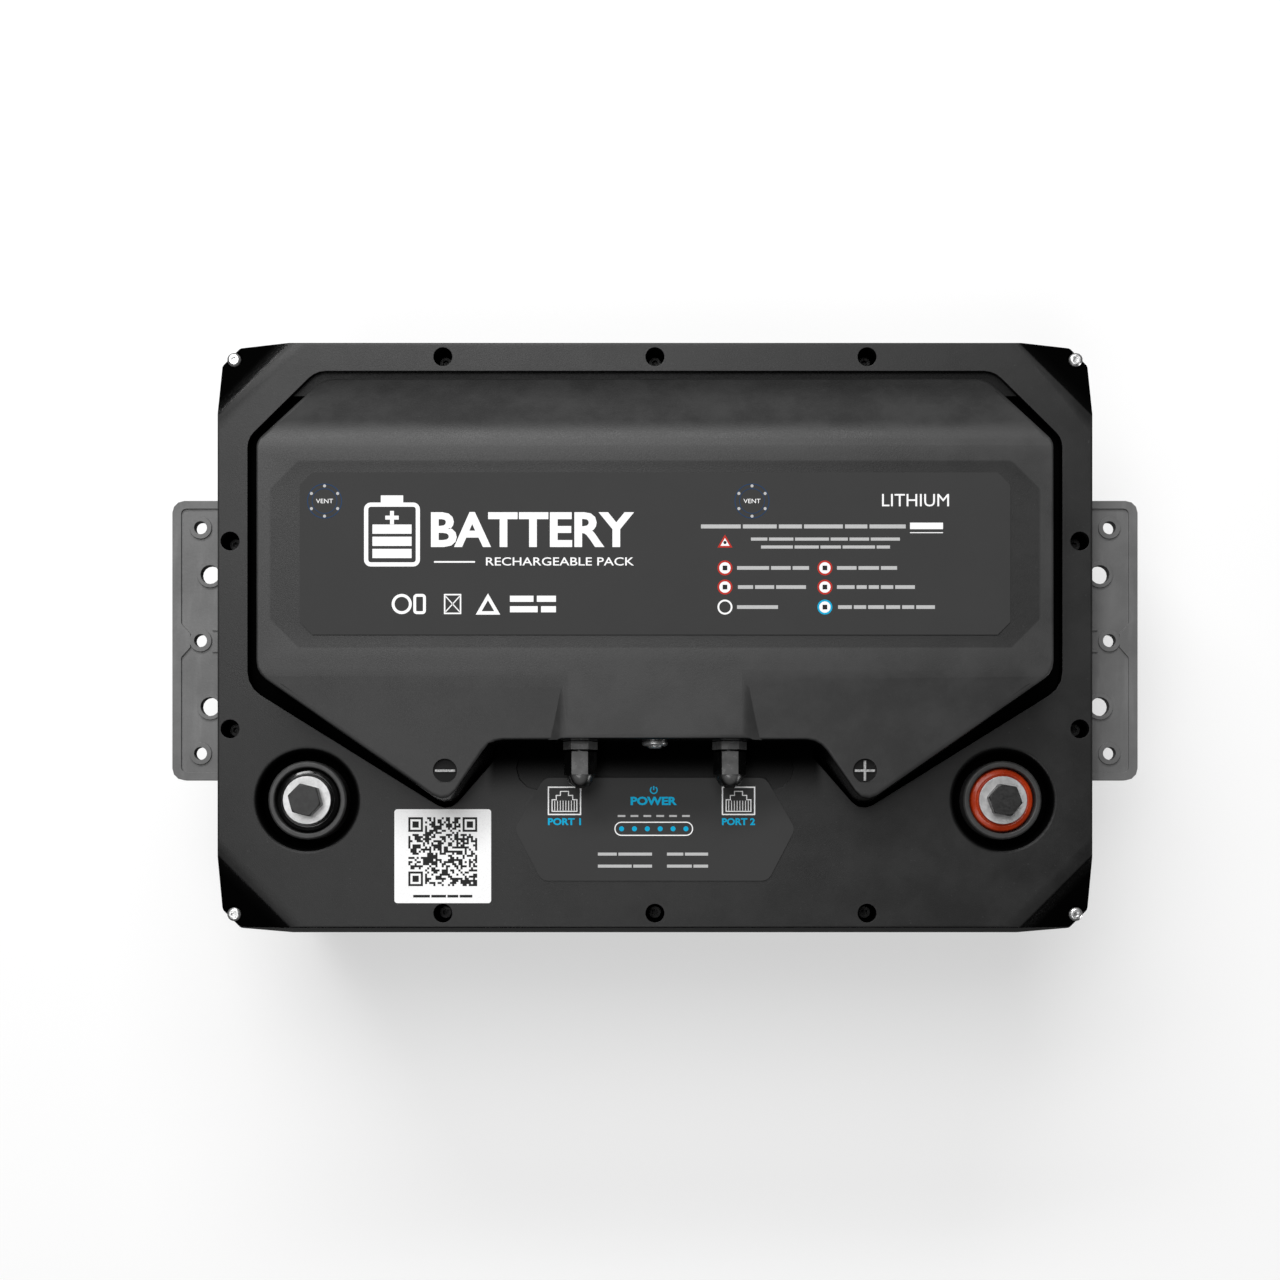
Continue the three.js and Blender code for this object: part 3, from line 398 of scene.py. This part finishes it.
# Pieces that look different from the rest of their slot, by how the node's name starts.
SPECIAL_FINISH = {
    # black oxide, darkened further as painted shade so the screws in the rim's wells read black
    "rim_screw": plated("black_oxide_well_shade", grey(0.002), grey(0.006), 0.5, metallic=0.4),
    "gland_body": nylon("gland_collar_nylon", 0.3, 0.45),
    "terminal_collar": insulator("collar_moulding", grey(0.03), grey(0.042), 0.45),
}

# ---------------------------------------------------------------- CAD nodes: materials and fine edges

SLOT_OF = {part["node"]: part["material_slot"] for part in frame["record"]["subparts"]}
WELD_MM = 0.06  # points closer than this become one
FLAT_ANGLE = math.radians(0.6)  # neighbouring faces closer than this become one
SHARP_ANGLE = math.radians(34)  # edges over this are rounded or kept sharp

# Edge rounding in mm, by how a node's name starts. The first fit counts.
EDGE = {
    "lid_gasket": 0,
    "lid": 0.3,
    "lower_case": 0.45,
    "mounting_ear": 0.3,
    "terminal_bolt": 0.35,
    "terminal_washer": 0.25,
    "terminal_collar": 0.35,
    "terminal_insulator": 0.3,
    "gland_": 0.18,
    "corner_screw": 0.25,
    "rim_screw": 0.2,
    "power_button": 0.2,
}


def first_fit(table, name, otherwise):
    """The table's first value whose key is how the name starts."""
    return next((value for start, value in table.items() if name.startswith(start)), otherwise)


def make_edge_sorter():
    """A geometry-nodes tree that keeps edges over SHARP_ANGLE sharp in a mesh shaded smooth."""
    tree = bpy.data.node_groups.new("sharp_over_angle", "GeometryNodeTree")
    tree.interface.new_socket("Geometry", in_out="INPUT", socket_type="NodeSocketGeometry")
    tree.interface.new_socket("Geometry", in_out="OUTPUT", socket_type="NodeSocketGeometry")
    start = tree.nodes.new("NodeGroupInput")
    end = tree.nodes.new("NodeGroupOutput")
    angle = tree.nodes.new("GeometryNodeInputMeshEdgeAngle")
    over = tree.nodes.new("FunctionNodeCompare")
    over.data_type = "FLOAT"
    over.operation = "GREATER_THAN"
    over.inputs["B"].default_value = SHARP_ANGLE
    sharpen = tree.nodes.new("GeometryNodeSetShadeSmooth")
    sharpen.domain = "EDGE"
    sharpen.inputs["Shade Smooth"].default_value = False
    tree.links.new(angle.outputs["Unsigned Angle"], over.inputs["A"])
    tree.links.new(start.outputs[0], sharpen.inputs["Geometry"])
    tree.links.new(over.outputs["Result"], sharpen.inputs["Selection"])
    tree.links.new(sharpen.outputs["Geometry"], end.inputs[0])
    return tree


EDGE_SORTER = make_edge_sorter()
IMPORTED_SHADING = ("custom_normal", "sharp_edge", "sharp_face")


def refine(name, obj):
    """Gives a CAD node its material, whole flat faces, rounded edges and smooth curves."""
    mesh = obj.data
    mesh.materials.clear()
    mesh.materials.append(first_fit(SPECIAL_FINISH, name, MATERIALS[SLOT_OF[name]]))
    for layer in IMPORTED_SHADING:
        if layer in mesh.attributes:
            mesh.attributes.remove(mesh.attributes[layer])
    weld = obj.modifiers.new("weld", "WELD")
    weld.merge_threshold = WELD_MM * MM
    dissolve = obj.modifiers.new("flat_faces", "DECIMATE")
    dissolve.decimate_type = "DISSOLVE"
    dissolve.angle_limit = FLAT_ANGLE
    width = first_fit(EDGE, name, 0)
    if width:
        bevel = obj.modifiers.new("rounded_edges", "BEVEL")
        bevel.width = width * MM
        bevel.segments = 2
        bevel.limit_method = "ANGLE"
        bevel.angle_limit = SHARP_ANGLE
        bevel.use_clamp_overlap = False
        bevel.loop_slide = False
    obj.modifiers.new("sharp_edges", "NODES").node_group = EDGE_SORTER
    normals = obj.modifiers.new("flat_stays_flat", "WEIGHTED_NORMAL")
    normals.keep_sharp = True


for node_name, node_object in nodes.items():
    refine(node_name, node_object)

# ---------------------------------------------------------------- flat prints

INK_RISE = 0.05  # mm above the film
INK_SINK = 0.02  # mm into the film


def circle(x, y, radius, points=28):
    turns = [math.tau * i / points for i in range(points)]
    return [(x + radius * math.cos(t), y + radius * math.sin(t)) for t in turns]


def rectangle(x0, y0, x1, y1):
    return [(x0, y0), (x1, y0), (x1, y1), (x0, y1)]


def rounded_rectangle(x0, y0, x1, y1, radius, steps=5):
    """Counter-clockwise from the lower right corner."""
    corners = ((x1 - radius, y0 + radius, -90), (x1 - radius, y1 - radius, 0),
               (x0 + radius, y1 - radius, 90), (x0 + radius, y0 + radius, 180))
    points = []
    for x, y, start in corners:
        for i in range(steps + 1):
            t = math.radians(start + 90 * i / steps)
            points.append((x + radius * math.cos(t), y + radius * math.sin(t)))
    return points


def triangle(x, y, side):
    """Point up, centred on its bounding box."""
    half, rise = side / 2, side * math.sqrt(3) / 4
    return [(x - half, y - rise), (x + half, y - rise), (x, y + rise)]


def inset(points, width):
    """A counter-clockwise outline moved inwards by width, corner by corner."""
    moved = []
    for i, point in enumerate(points):
        before, here, after = Vector(points[i - 1]), Vector(point), Vector(points[(i + 1) % len(points)])
        a = (here - before).normalized()
        b = (after - here).normalized()
        inward_a, inward_b = Vector((-a.y, a.x)), Vector((-b.y, b.x))
        miter = (inward_a + inward_b).normalized()
        moved.append(tuple(here + miter * (width / max(miter.dot(inward_a), 0.3))))
    return moved


class Print:
    """Shapes of one ink, each with a hair of thickness, in one mesh that rides on the pack."""

    def __init__(self, name, level, material, rise=INK_RISE, sink=INK_SINK):
        self.name = name
        self.low = (level - sink) * MM
        self.high = (level + rise) * MM
        self.material = material
        self.bm = bmesh.new()

    def loops(self, points):
        return [[self.bm.verts.new((x * MM, y * MM, z)) for x, y in points] for z in (self.low, self.high)]

    def solid(self, points):
        low, high = self.loops(points)
        self.bm.faces.new(reversed(low))
        self.bm.faces.new(high)
        for i in range(len(points)):
            self.bm.faces.new((low[i - 1], low[i], high[i], high[i - 1]))

    def outline(self, points, width):
        low, high = self.loops(points)
        inner_low, inner_high = self.loops(inset(points, width))
        for i in range(len(points)):
            self.bm.faces.new((low[i - 1], low[i], high[i], high[i - 1]))
            self.bm.faces.new((inner_low[i], inner_low[i - 1], inner_high[i - 1], inner_high[i]))
            self.bm.faces.new((high[i - 1], high[i], inner_high[i], inner_high[i - 1]))
            self.bm.faces.new((low[i], low[i - 1], inner_low[i - 1], inner_low[i]))

    def words(self, text, x0, y0, x1, y1, weight=0.0):
        """Text in the built-in font, stretched to fill the box from (x0, y0) to (x1, y1)."""
        curve = bpy.data.curves.new("words", "FONT")
        curve.body = text
        curve.offset = weight
        curve.resolution_u = 3
        curve.extrude = 0.5
        holder = bpy.data.objects.new("words", curve)
        bpy.context.collection.objects.link(holder)
        bpy.context.view_layer.update()
        mesh = bpy.data.meshes.new_from_object(holder.evaluated_get(bpy.context.evaluated_depsgraph_get()))
        xs = [v.co.x for v in mesh.vertices]
        ys = [v.co.y for v in mesh.vertices]
        scale_x = (x1 - x0) / (max(xs) - min(xs)) * MM
        scale_y = (y1 - y0) / (max(ys) - min(ys)) * MM
        scale = Vector((scale_x, scale_y, self.high - self.low))
        middle = (self.low + self.high) / 2
        origin = Vector((x0 * MM - min(xs) * scale_x, y0 * MM - min(ys) * scale_y, middle))
        mesh.transform(Matrix.Translation(origin) @ Matrix.Diagonal((*scale, 1)))
        self.bm.from_mesh(mesh)
        bpy.data.meshes.remove(mesh)
        bpy.data.objects.remove(holder)
        bpy.data.curves.remove(curve)

    def small_print(self, x0, x1, y, height, words):
        """Stands in for a line of small print: one plain bar per word."""
        gap = 0.55 * height
        lengths = [rng.uniform(0.6, 1.6) for _ in range(words)]
        unit = (x1 - x0 - gap * (words - 1)) / sum(lengths)
        x = x0
        for length in lengths:
            self.solid(rectangle(x, y - height / 2, x + length * unit, y + height / 2))
            x += length * unit + gap

    def lay(self, slot="label_film"):
        bmesh.ops.remove_doubles(self.bm, verts=self.bm.verts, dist=1e-7)
        bmesh.ops.recalc_face_normals(self.bm, faces=self.bm.faces)
        mesh = bpy.data.meshes.new(self.name)
        self.bm.to_mesh(mesh)
        self.bm.free()
        mesh.materials.append(self.material)
        piece = bpy.data.objects.new(self.name, mesh)
        bpy.context.collection.objects.link(piece)
        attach(piece, BODY)
        return piece


rng = random.Random(7)
WHITE = ink("ink_white", grey(0.96))
SOFT_WHITE = ink("ink_soft_white", grey(0.5))
RED = ink("ink_red", (0.5, 0.03, 0.02))
BLUE = ink("ink_blue", (0.002, 0.40, 0.66))
NAVY = ink("ink_navy", (0.016, 0.045, 0.11))
DARK = ink("ink_dark", grey(0.02))

# ---------------------------------------------------------------- main label

# Boxes are x0, y0, x1, y1.
SYMBOL = {"x": -145.8, "y": 53.6, "width": 31, "height": 39.4}
TITLE_BOX = (-124.2, 44.7, -11.6, 64.1)
SUBTITLE_BOX = (-93.7, 34.4, -11.6, 39.0)
SUBTITLE_RULE = (-122.5, 36.0, -99.8, 36.9)
CHEMISTRY_BOX = (125.9, 67.2, 163.0, 74.1)
NOTICE_RULE = (141.4, 52.4, 159.7, 52.9)
# Lines of small print: ink, x0, x1, y, height, words.
NOTICE = (
    ("soft", 25.5, 139, 56.1, 2.2, 6),
    ("white", 141.4, 159.7, 56.4, 3.6, 1),
    ("soft", 53.2, 135.8, 49.1, 1.7, 6),
    ("soft", 58.8, 130.3, 44.7, 1.7, 5),
)
VENTS = ((-183.2, 70.2), (53.8, 70.2))
MARKS = {"y": 13.1, "half": 5.6, "ring_x": -140.4, "cross_x": -112.2, "triangle_x": -92.6}
HANDLING = {"x": (38.8, 94.2), "y": (33.1, 22.5, 11.4), "size": 8.3, "line": 0.95, "triangle_y": 48}
# Small print beside each handling mark, down the two columns: x0, x1, words.
HANDLING_LINES = (
    ((45.5, 85.4, 3), (46.0, 83.7, 3), (45.5, 68.2, 1)),
    ((100.9, 134.2, 3), (100.9, 144.1, 5), (101.5, 155.2, 6)),
)
HANDLING_RINGS = (("red", "red", "white"), ("red", "red", "blue"))


def battery_symbol(ink_white, x, y, width, height):
    """An upright battery: body outline, a terminal nub, three charge bars and a plus."""
    nub = 0.1 * height
    line = 0.075 * width
    body = (x - width / 2, y - height / 2, x + width / 2, y + height / 2 - nub)
    ink_white.outline(rounded_rectangle(*body, 0.12 * width), line)
    ink_white.solid(rectangle(x - 0.2 * width, body[3], x + 0.2 * width, body[3] + nub))
    bar_height = 0.13 * height
    for i in range(3):
        low = body[1] + 2 * line + i * (bar_height + 0.7 * line)
        ink_white.solid(rectangle(body[0] + 2 * line, low, body[2] - 2 * line, low + bar_height))
    arm, thick = 0.12 * width, 0.035 * width
    plus_y = body[3] - 2 * line - arm
    ink_white.solid(rectangle(x - arm, plus_y - thick, x + arm, plus_y + thick))
    for side in (-1, 1):
        ink_white.solid(rectangle(x - thick, plus_y + side * (thick + arm) / 2 - (arm - thick) / 2,
                                  x + thick, plus_y + side * (thick + arm) / 2 + (arm - thick) / 2))


def certification_marks(ink_white):
    """Plain shapes in a row: ring, rounded square, crossed square, triangle and two bars."""
    y, half, cross_x = MARKS["y"], MARKS["half"], MARKS["cross_x"]
    ink_white.outline(circle(MARKS["ring_x"], y, half), 1.6)
    ink_white.outline(rounded_rectangle(-134, y - half, -127, y + half, 2), 1.6)
    ink_white.outline(rectangle(cross_x - 4.8, y - half, cross_x + 4.8, y + half), 0.8)
    for lean in (-4, 4):
        low_x, high_x = cross_x - lean, cross_x + lean
        ink_white.solid([(low_x - 0.4, y - 4.4), (low_x + 0.4, y - 4.4),
                         (high_x + 0.4, y + 4.4), (high_x - 0.4, y + 4.4)])
    ink_white.outline(triangle(MARKS["triangle_x"], y, 13.6), 1.9)
    ink_white.small_print(-80.4, -54.9, y + 2.9, 3.4, 2)
    ink_white.small_print(-80.4, -54.9, y - 2.9, 3.4, 2)


def handling_marks(inks):
    """Two columns of round marks, each with a line of small print, under a triangle mark."""
    size, line = HANDLING["size"], HANDLING["line"]
    sign = triangle(HANDLING["x"][0], HANDLING["triangle_y"], size)
    inks["red"].outline(sign, 0.9)
    inks["white"].solid(inset(sign, line))
    inks["dark"].solid(circle(HANDLING["x"][0], HANDLING["triangle_y"] - 0.8, 0.9))
    for x, lines, rings in zip(HANDLING["x"], HANDLING_LINES, HANDLING_RINGS):
        for y, (start, end, words), ring in zip(HANDLING["y"], lines, rings):
            inks["soft"].small_print(start, end, y, 2.0, words)
            inks[ring].outline(circle(x, y, size / 2), line)
            if ring != "white":
                inks["white"].solid(circle(x, y, size / 2 - 1.0))
                inks["dark"].solid(rectangle(x - 1.3, y - 1.3, x + 1.3, y + 1.3))


def vent(inks, x, y):
    """A printed ring of six dots around a small word."""
    inks["navy"].outline(circle(x, y, 9.7, 40), 0.5)
    inks["navy"].outline(circle(x, y, 7.1, 40), 0.4)
    for i in range(6):
        turn = math.radians(90 + 60 * i)
        inks["soft"].solid(circle(x + 8.4 * math.cos(turn), y + 8.4 * math.sin(turn), 0.85, 14))
    inks["white"].words("VENT", x - 4.7, y - 1.2, x + 4.7, y + 1.2)


def print_main_label():
    inks = {
        "white": Print("main_label_white", FILM_TOP, WHITE),
        "soft": Print("main_label_small_print", FILM_TOP, SOFT_WHITE),
        "red": Print("main_label_red", FILM_TOP, RED),
        "blue": Print("main_label_blue", FILM_TOP, BLUE),
        "navy": Print("main_label_navy", FILM_TOP, NAVY),
        "dark": Print("main_label_dark", FILM_TOP + INK_RISE, DARK),
    }
    white = inks["white"]
    battery_symbol(white, **SYMBOL)
    white.words("BATTERY", *TITLE_BOX, weight=0.03)
    white.solid(rectangle(*SUBTITLE_RULE))
    white.words("RECHARGEABLE PACK", *SUBTITLE_BOX, weight=0.006)
    certification_marks(white)
    white.words("LITHIUM", *CHEMISTRY_BOX)
    for ink_name, x0, x1, y, height, words in NOTICE:
        inks[ink_name].small_print(x0, x1, y, height, words)
    white.solid(rectangle(*NOTICE_RULE))
    handling_marks(inks)
    for x, y in VENTS:
        vent(inks, x, y)
    for each in inks.values():
        each.lay()


# ---------------------------------------------------------------- panel label

PANEL_X = -0.7  # the panel's print sits a little left of the pack's middle
PORTS = (("PORT 1", -52.0), ("PORT 2", 48.0))
JACK_Y = -95.4
BAR = {"half_x": 22.6, "low": -115.5, "high": -107.4, "corner": 4.0, "line": 0.6}
BAR_DOTS = 6
DOT_PITCH = 7.4
PIN_LINES_Y = (-126.0, -132.9)


def jack_symbol(ink_white, x, y):
    """A square with the stepped outline of a data jack and its eight contacts."""
    ink_white.outline(rectangle(x - 9.6, y - 8.2, x + 9.6, y + 8.2), 0.75)
    jack = [(-7.4, -6.3), (7.4, -6.3), (7.4, 0.9), (5.0, 0.9), (5.0, 3.4), (2.6, 3.4),
            (2.6, 5.7), (-2.6, 5.7), (-2.6, 3.4), (-5.0, 3.4), (-5.0, 0.9), (-7.4, 0.9)]
    ink_white.outline([(x + dx, y + dy) for dx, dy in jack], 0.55)
    for i in range(8):
        contact_x = x + (i - 3.5) * 1.6
        ink_white.solid(rectangle(contact_x - 0.2, y - 5.6, contact_x + 0.2, y + 0.1))


def power_symbol(ink_blue, x, y, radius):
    """A broken ring with a bar in its gap, drawn as an outline of one bent stroke."""
    gap = math.radians(34)
    steps = 22
    turns = [math.pi / 2 + gap + (math.tau - 2 * gap) * i / steps for i in range(steps + 1)]
    outer = [(x + radius * math.cos(t), y + radius * math.sin(t)) for t in turns]
    inner = [(x + 0.7 * radius * math.cos(t), y + 0.7 * radius * math.sin(t)) for t in reversed(turns)]
    ink_blue.solid(outer + inner)
    ink_blue.solid(rectangle(x - 0.16 * radius, y, x + 0.16 * radius, y + radius))


def print_panel():
    white = Print("panel_white", PANEL_TOP, WHITE)
    soft = Print("panel_small_print", PANEL_TOP, SOFT_WHITE)
    blue = Print("panel_blue", PANEL_TOP, BLUE)
    for port, x in PORTS:
        jack_symbol(white, x, JACK_Y)
        blue.words(port, x - 9.5, -109.4, x + 9.5, -105.3, weight=0.035)
    power_symbol(blue, PANEL_X, -89.2, 2.3)
    blue.words("POWER", PANEL_X - 13.3, -97.9, PANEL_X + 13.3, -93.0, weight=0.04)
    bar_x0, bar_x1 = PANEL_X - BAR["half_x"], PANEL_X + BAR["half_x"]
    white.outline(rounded_rectangle(bar_x0, BAR["low"], bar_x1, BAR["high"], BAR["corner"], 8), BAR["line"])
    for i in range(BAR_DOTS):
        dot_x = PANEL_X + (i - (BAR_DOTS - 1) / 2) * DOT_PITCH
        blue.solid(circle(dot_x, (BAR["low"] + BAR["high"]) / 2, 1.45, 20))
        soft.small_print(dot_x - 2.2, dot_x + 2.2, -104.1, 1.1, 1)
    for y in PIN_LINES_Y:
        soft.small_print(-32.8, -1.7, y, 1.7, 2)
        soft.small_print(6.9, 30.5, y, 1.7, 2)
    for each in (white, soft, blue):
        each.lay()


# ---------------------------------------------------------------- code sticker

STICKER = {"x": -122.0, "y": -127.2, "width": 55.6, "height": 54.0, "corner": 1.7, "thickness": 0.15}
MODULES = 33  # along each side of the pattern
MODULE = 1.2  # mm
PATTERN_RAISE = 2.6  # mm from the sticker's middle up to the pattern's
FINDER = 7  # modules across each of the three corner squares


def in_finder(column, row):
    """Whether a module lies in one of the three corner squares or the clear strip round it."""
    far = MODULES - FINDER - 1
    return (column <= FINDER and row <= FINDER) or (column <= FINDER and row >= far) \
        or (column >= far and row >= far)


def print_sticker():
    """A white sticker with a random pattern of square modules, which stands for no message."""
    half_x, half_y = STICKER["width"] / 2, STICKER["height"] / 2
    x, y = STICKER["x"], STICKER["y"]
    sheet = Print("code_sticker", RIM_Z, WHITE, rise=STICKER["thickness"], sink=0)
    sheet.solid(rounded_rectangle(x - half_x, y - half_y, x + half_x, y + half_y, STICKER["corner"]))
    sheet.lay()
    black = Print("code_pattern", RIM_Z + STICKER["thickness"], DARK)
    left = x - MODULES * MODULE / 2
    low = y + PATTERN_RAISE - MODULES * MODULE / 2
    for row in range(MODULES):
        column = 0
        while column < MODULES:
            run = 0
            while column + run < MODULES and not in_finder(column + run, row) and rng.random() < 0.5:
                run += 1
            if run:
                black.solid(rectangle(left + column * MODULE, low + row * MODULE,
                                      left + (column + run) * MODULE, low + (row + 1) * MODULE))
            column += run + 1
    for column, row in ((0, 0), (0, MODULES - FINDER), (MODULES - FINDER, MODULES - FINDER)):
        x0, y0 = left + column * MODULE, low + row * MODULE
        side = FINDER * MODULE
        corner = rectangle(x0, y0, x0 + side, y0 + side)
        black.outline(corner, MODULE)
        black.solid(inset(corner, 2 * MODULE))
    black.small_print(x - 17, x + 17, y - half_y + 4.0, 1.5, 4)
    black.lay()


# ---------------------------------------------------------------- polarity signs

SIGN = {"x": 117.4, "y": -79.0, "disc": 6.4, "arm": 5.6, "half_width": 0.65, "rise": 0.75}


def polarity_signs():
    """Moulded signs: a raised minus and a raised plus, each on a black disc in its recess. The signs' light
    grey is a painted highlight on their glossy black moulding.
    """
    arm, half = SIGN["arm"], SIGN["half_width"]
    for side, name in ((-1, "negative"), (1, "positive")):
        x, y = side * SIGN["x"], SIGN["y"]
        disc = Print(f"polarity_disc_{name}", SIGN_FLOOR_Z, SIGN_BLACK, rise=0.15, sink=0)
        disc.solid(circle(x, y, SIGN["disc"], 32))
        disc.lay("lid_plastic")
        sign = Print(f"polarity_sign_{name}", SIGN_FLOOR_Z + 0.15, SIGN_PAINTED_HIGHLIGHT, rise=SIGN["rise"], sink=0)
        if side < 0:
            sign.solid(rectangle(x - arm, y - half, x + arm, y + half))
        else:
            cross = []
            for a, b in ((1, 0), (0, 1), (-1, 0), (0, -1)):
                for along, across in ((half, -half), (arm, -half), (arm, half)):
                    cross.append((x + a * along - b * across, y + b * along + a * across))
            sign.solid(cross)
        sign.lay("lid_plastic")


def moulded_sign(name, level, rough):
    s = Surface(name, grey(level), rough, Specular_IOR_Level=0.15)
    stipple = s.noise(0.7, detail=3, roughness=0.7)
    s.color(s.blend(s.ramp(stipple, 0, 1), grey(level), grey(level * 2.5)))
    s.roughness(s.ramp(stipple, rough - 0.05, rough + 0.1))
    s.bump(stipple, 0.06)
    return s.material


SIGN_BLACK = moulded_sign("sign_stipple", 0.003, 0.6)
# painted highlight: the glossy black signs are coloured light grey
SIGN_PAINTED_HIGHLIGHT = moulded_sign("sign_gloss_painted_highlight", 0.2, 0.25)

print_main_label()
print_panel()
print_sticker()
polarity_signs()

# ---------------------------------------------------------------- floor, light and camera

CAMERA_HEIGHT = 900  # mm above the lid's rim
FRAME_WIDTH = 736  # mm that the view covers at the rim's height
SENSOR = 36.0
VIEW_Y = -113.3  # mm, where the camera stands
SHIFT_X = -0.0117  # of the frame's width
SHIFT_Y = 0.15


def make_floor():
    """A pale sheet. It glows a little, and neither lights the pack nor mirrors in it."""
    bm = bmesh.new()
    bmesh.ops.create_grid(bm, x_segments=1, y_segments=1, size=4.0)
    mesh = bpy.data.meshes.new("floor")
    bm.to_mesh(mesh)
    bm.free()
    floor = bpy.data.objects.new("floor", mesh)
    bpy.context.collection.objects.link(floor)
    s = Surface("floor_paper", grey(0.5), 0.9, Specular_IOR_Level=0.0,
                Emission_Color=(1, 1, 1, 1), Emission_Strength=0.5)
    mesh.materials.append(s.material)
    floor.visible_diffuse = False
    floor.visible_glossy = False


def softbox(name, place, target, width, depth, radiance):
    """A rectangular light of that radiance, whatever its size. All lengths are in metres."""
    data = bpy.data.lights.new(name, "AREA")
    data.shape = "RECTANGLE"
    data.size = width
    data.size_y = depth
    data.energy = radiance * math.pi * width * depth
    light = bpy.data.objects.new(name, data)
    light.location = place
    light.rotation_euler = (Vector(target) - Vector(place)).to_track_quat("-Z", "Y").to_euler()
    bpy.context.collection.objects.link(light)


def make_camera():
    data = bpy.data.cameras.new("camera")
    data.sensor_width = SENSOR
    data.lens = SENSOR * CAMERA_HEIGHT / FRAME_WIDTH
    data.shift_x = SHIFT_X
    data.shift_y = SHIFT_Y
    camera = bpy.data.objects.new("camera", data)
    camera.location = (0, VIEW_Y * MM, (RIM_Z + CAMERA_HEIGHT) * MM)
    bpy.context.collection.objects.link(camera)
    bpy.context.scene.camera = camera


def make_world():
    world = bpy.data.worlds.new("studio")
    world.use_nodes = True
    background = world.node_tree.nodes["Background"]
    background.inputs["Color"].default_value = (1, 1, 1, 1)
    background.inputs["Strength"].default_value = 0.03
    bpy.context.scene.world = world


make_floor()
make_world()
make_camera()
softbox("back_left", (-0.5, 1.1, 2.8), (0, 0, 0.15), 1.9, 1.7, 4.8)
softbox("front_left", (-0.55, -1.2, 2.6), (0, 0, 0.15), 1.3, 0.8, 5.4)
softbox("back_strip", (-0.5, 2.3, 1.9), (0, 0.1, 0.2), 2.6, 0.5, 15.0)
softbox("side_fill", (2.2, -1.0, 0.3), (0, 0, 0.1), 0.9, 0.5, 7.0)
bpy.context.scene.view_settings.view_transform = "Standard"
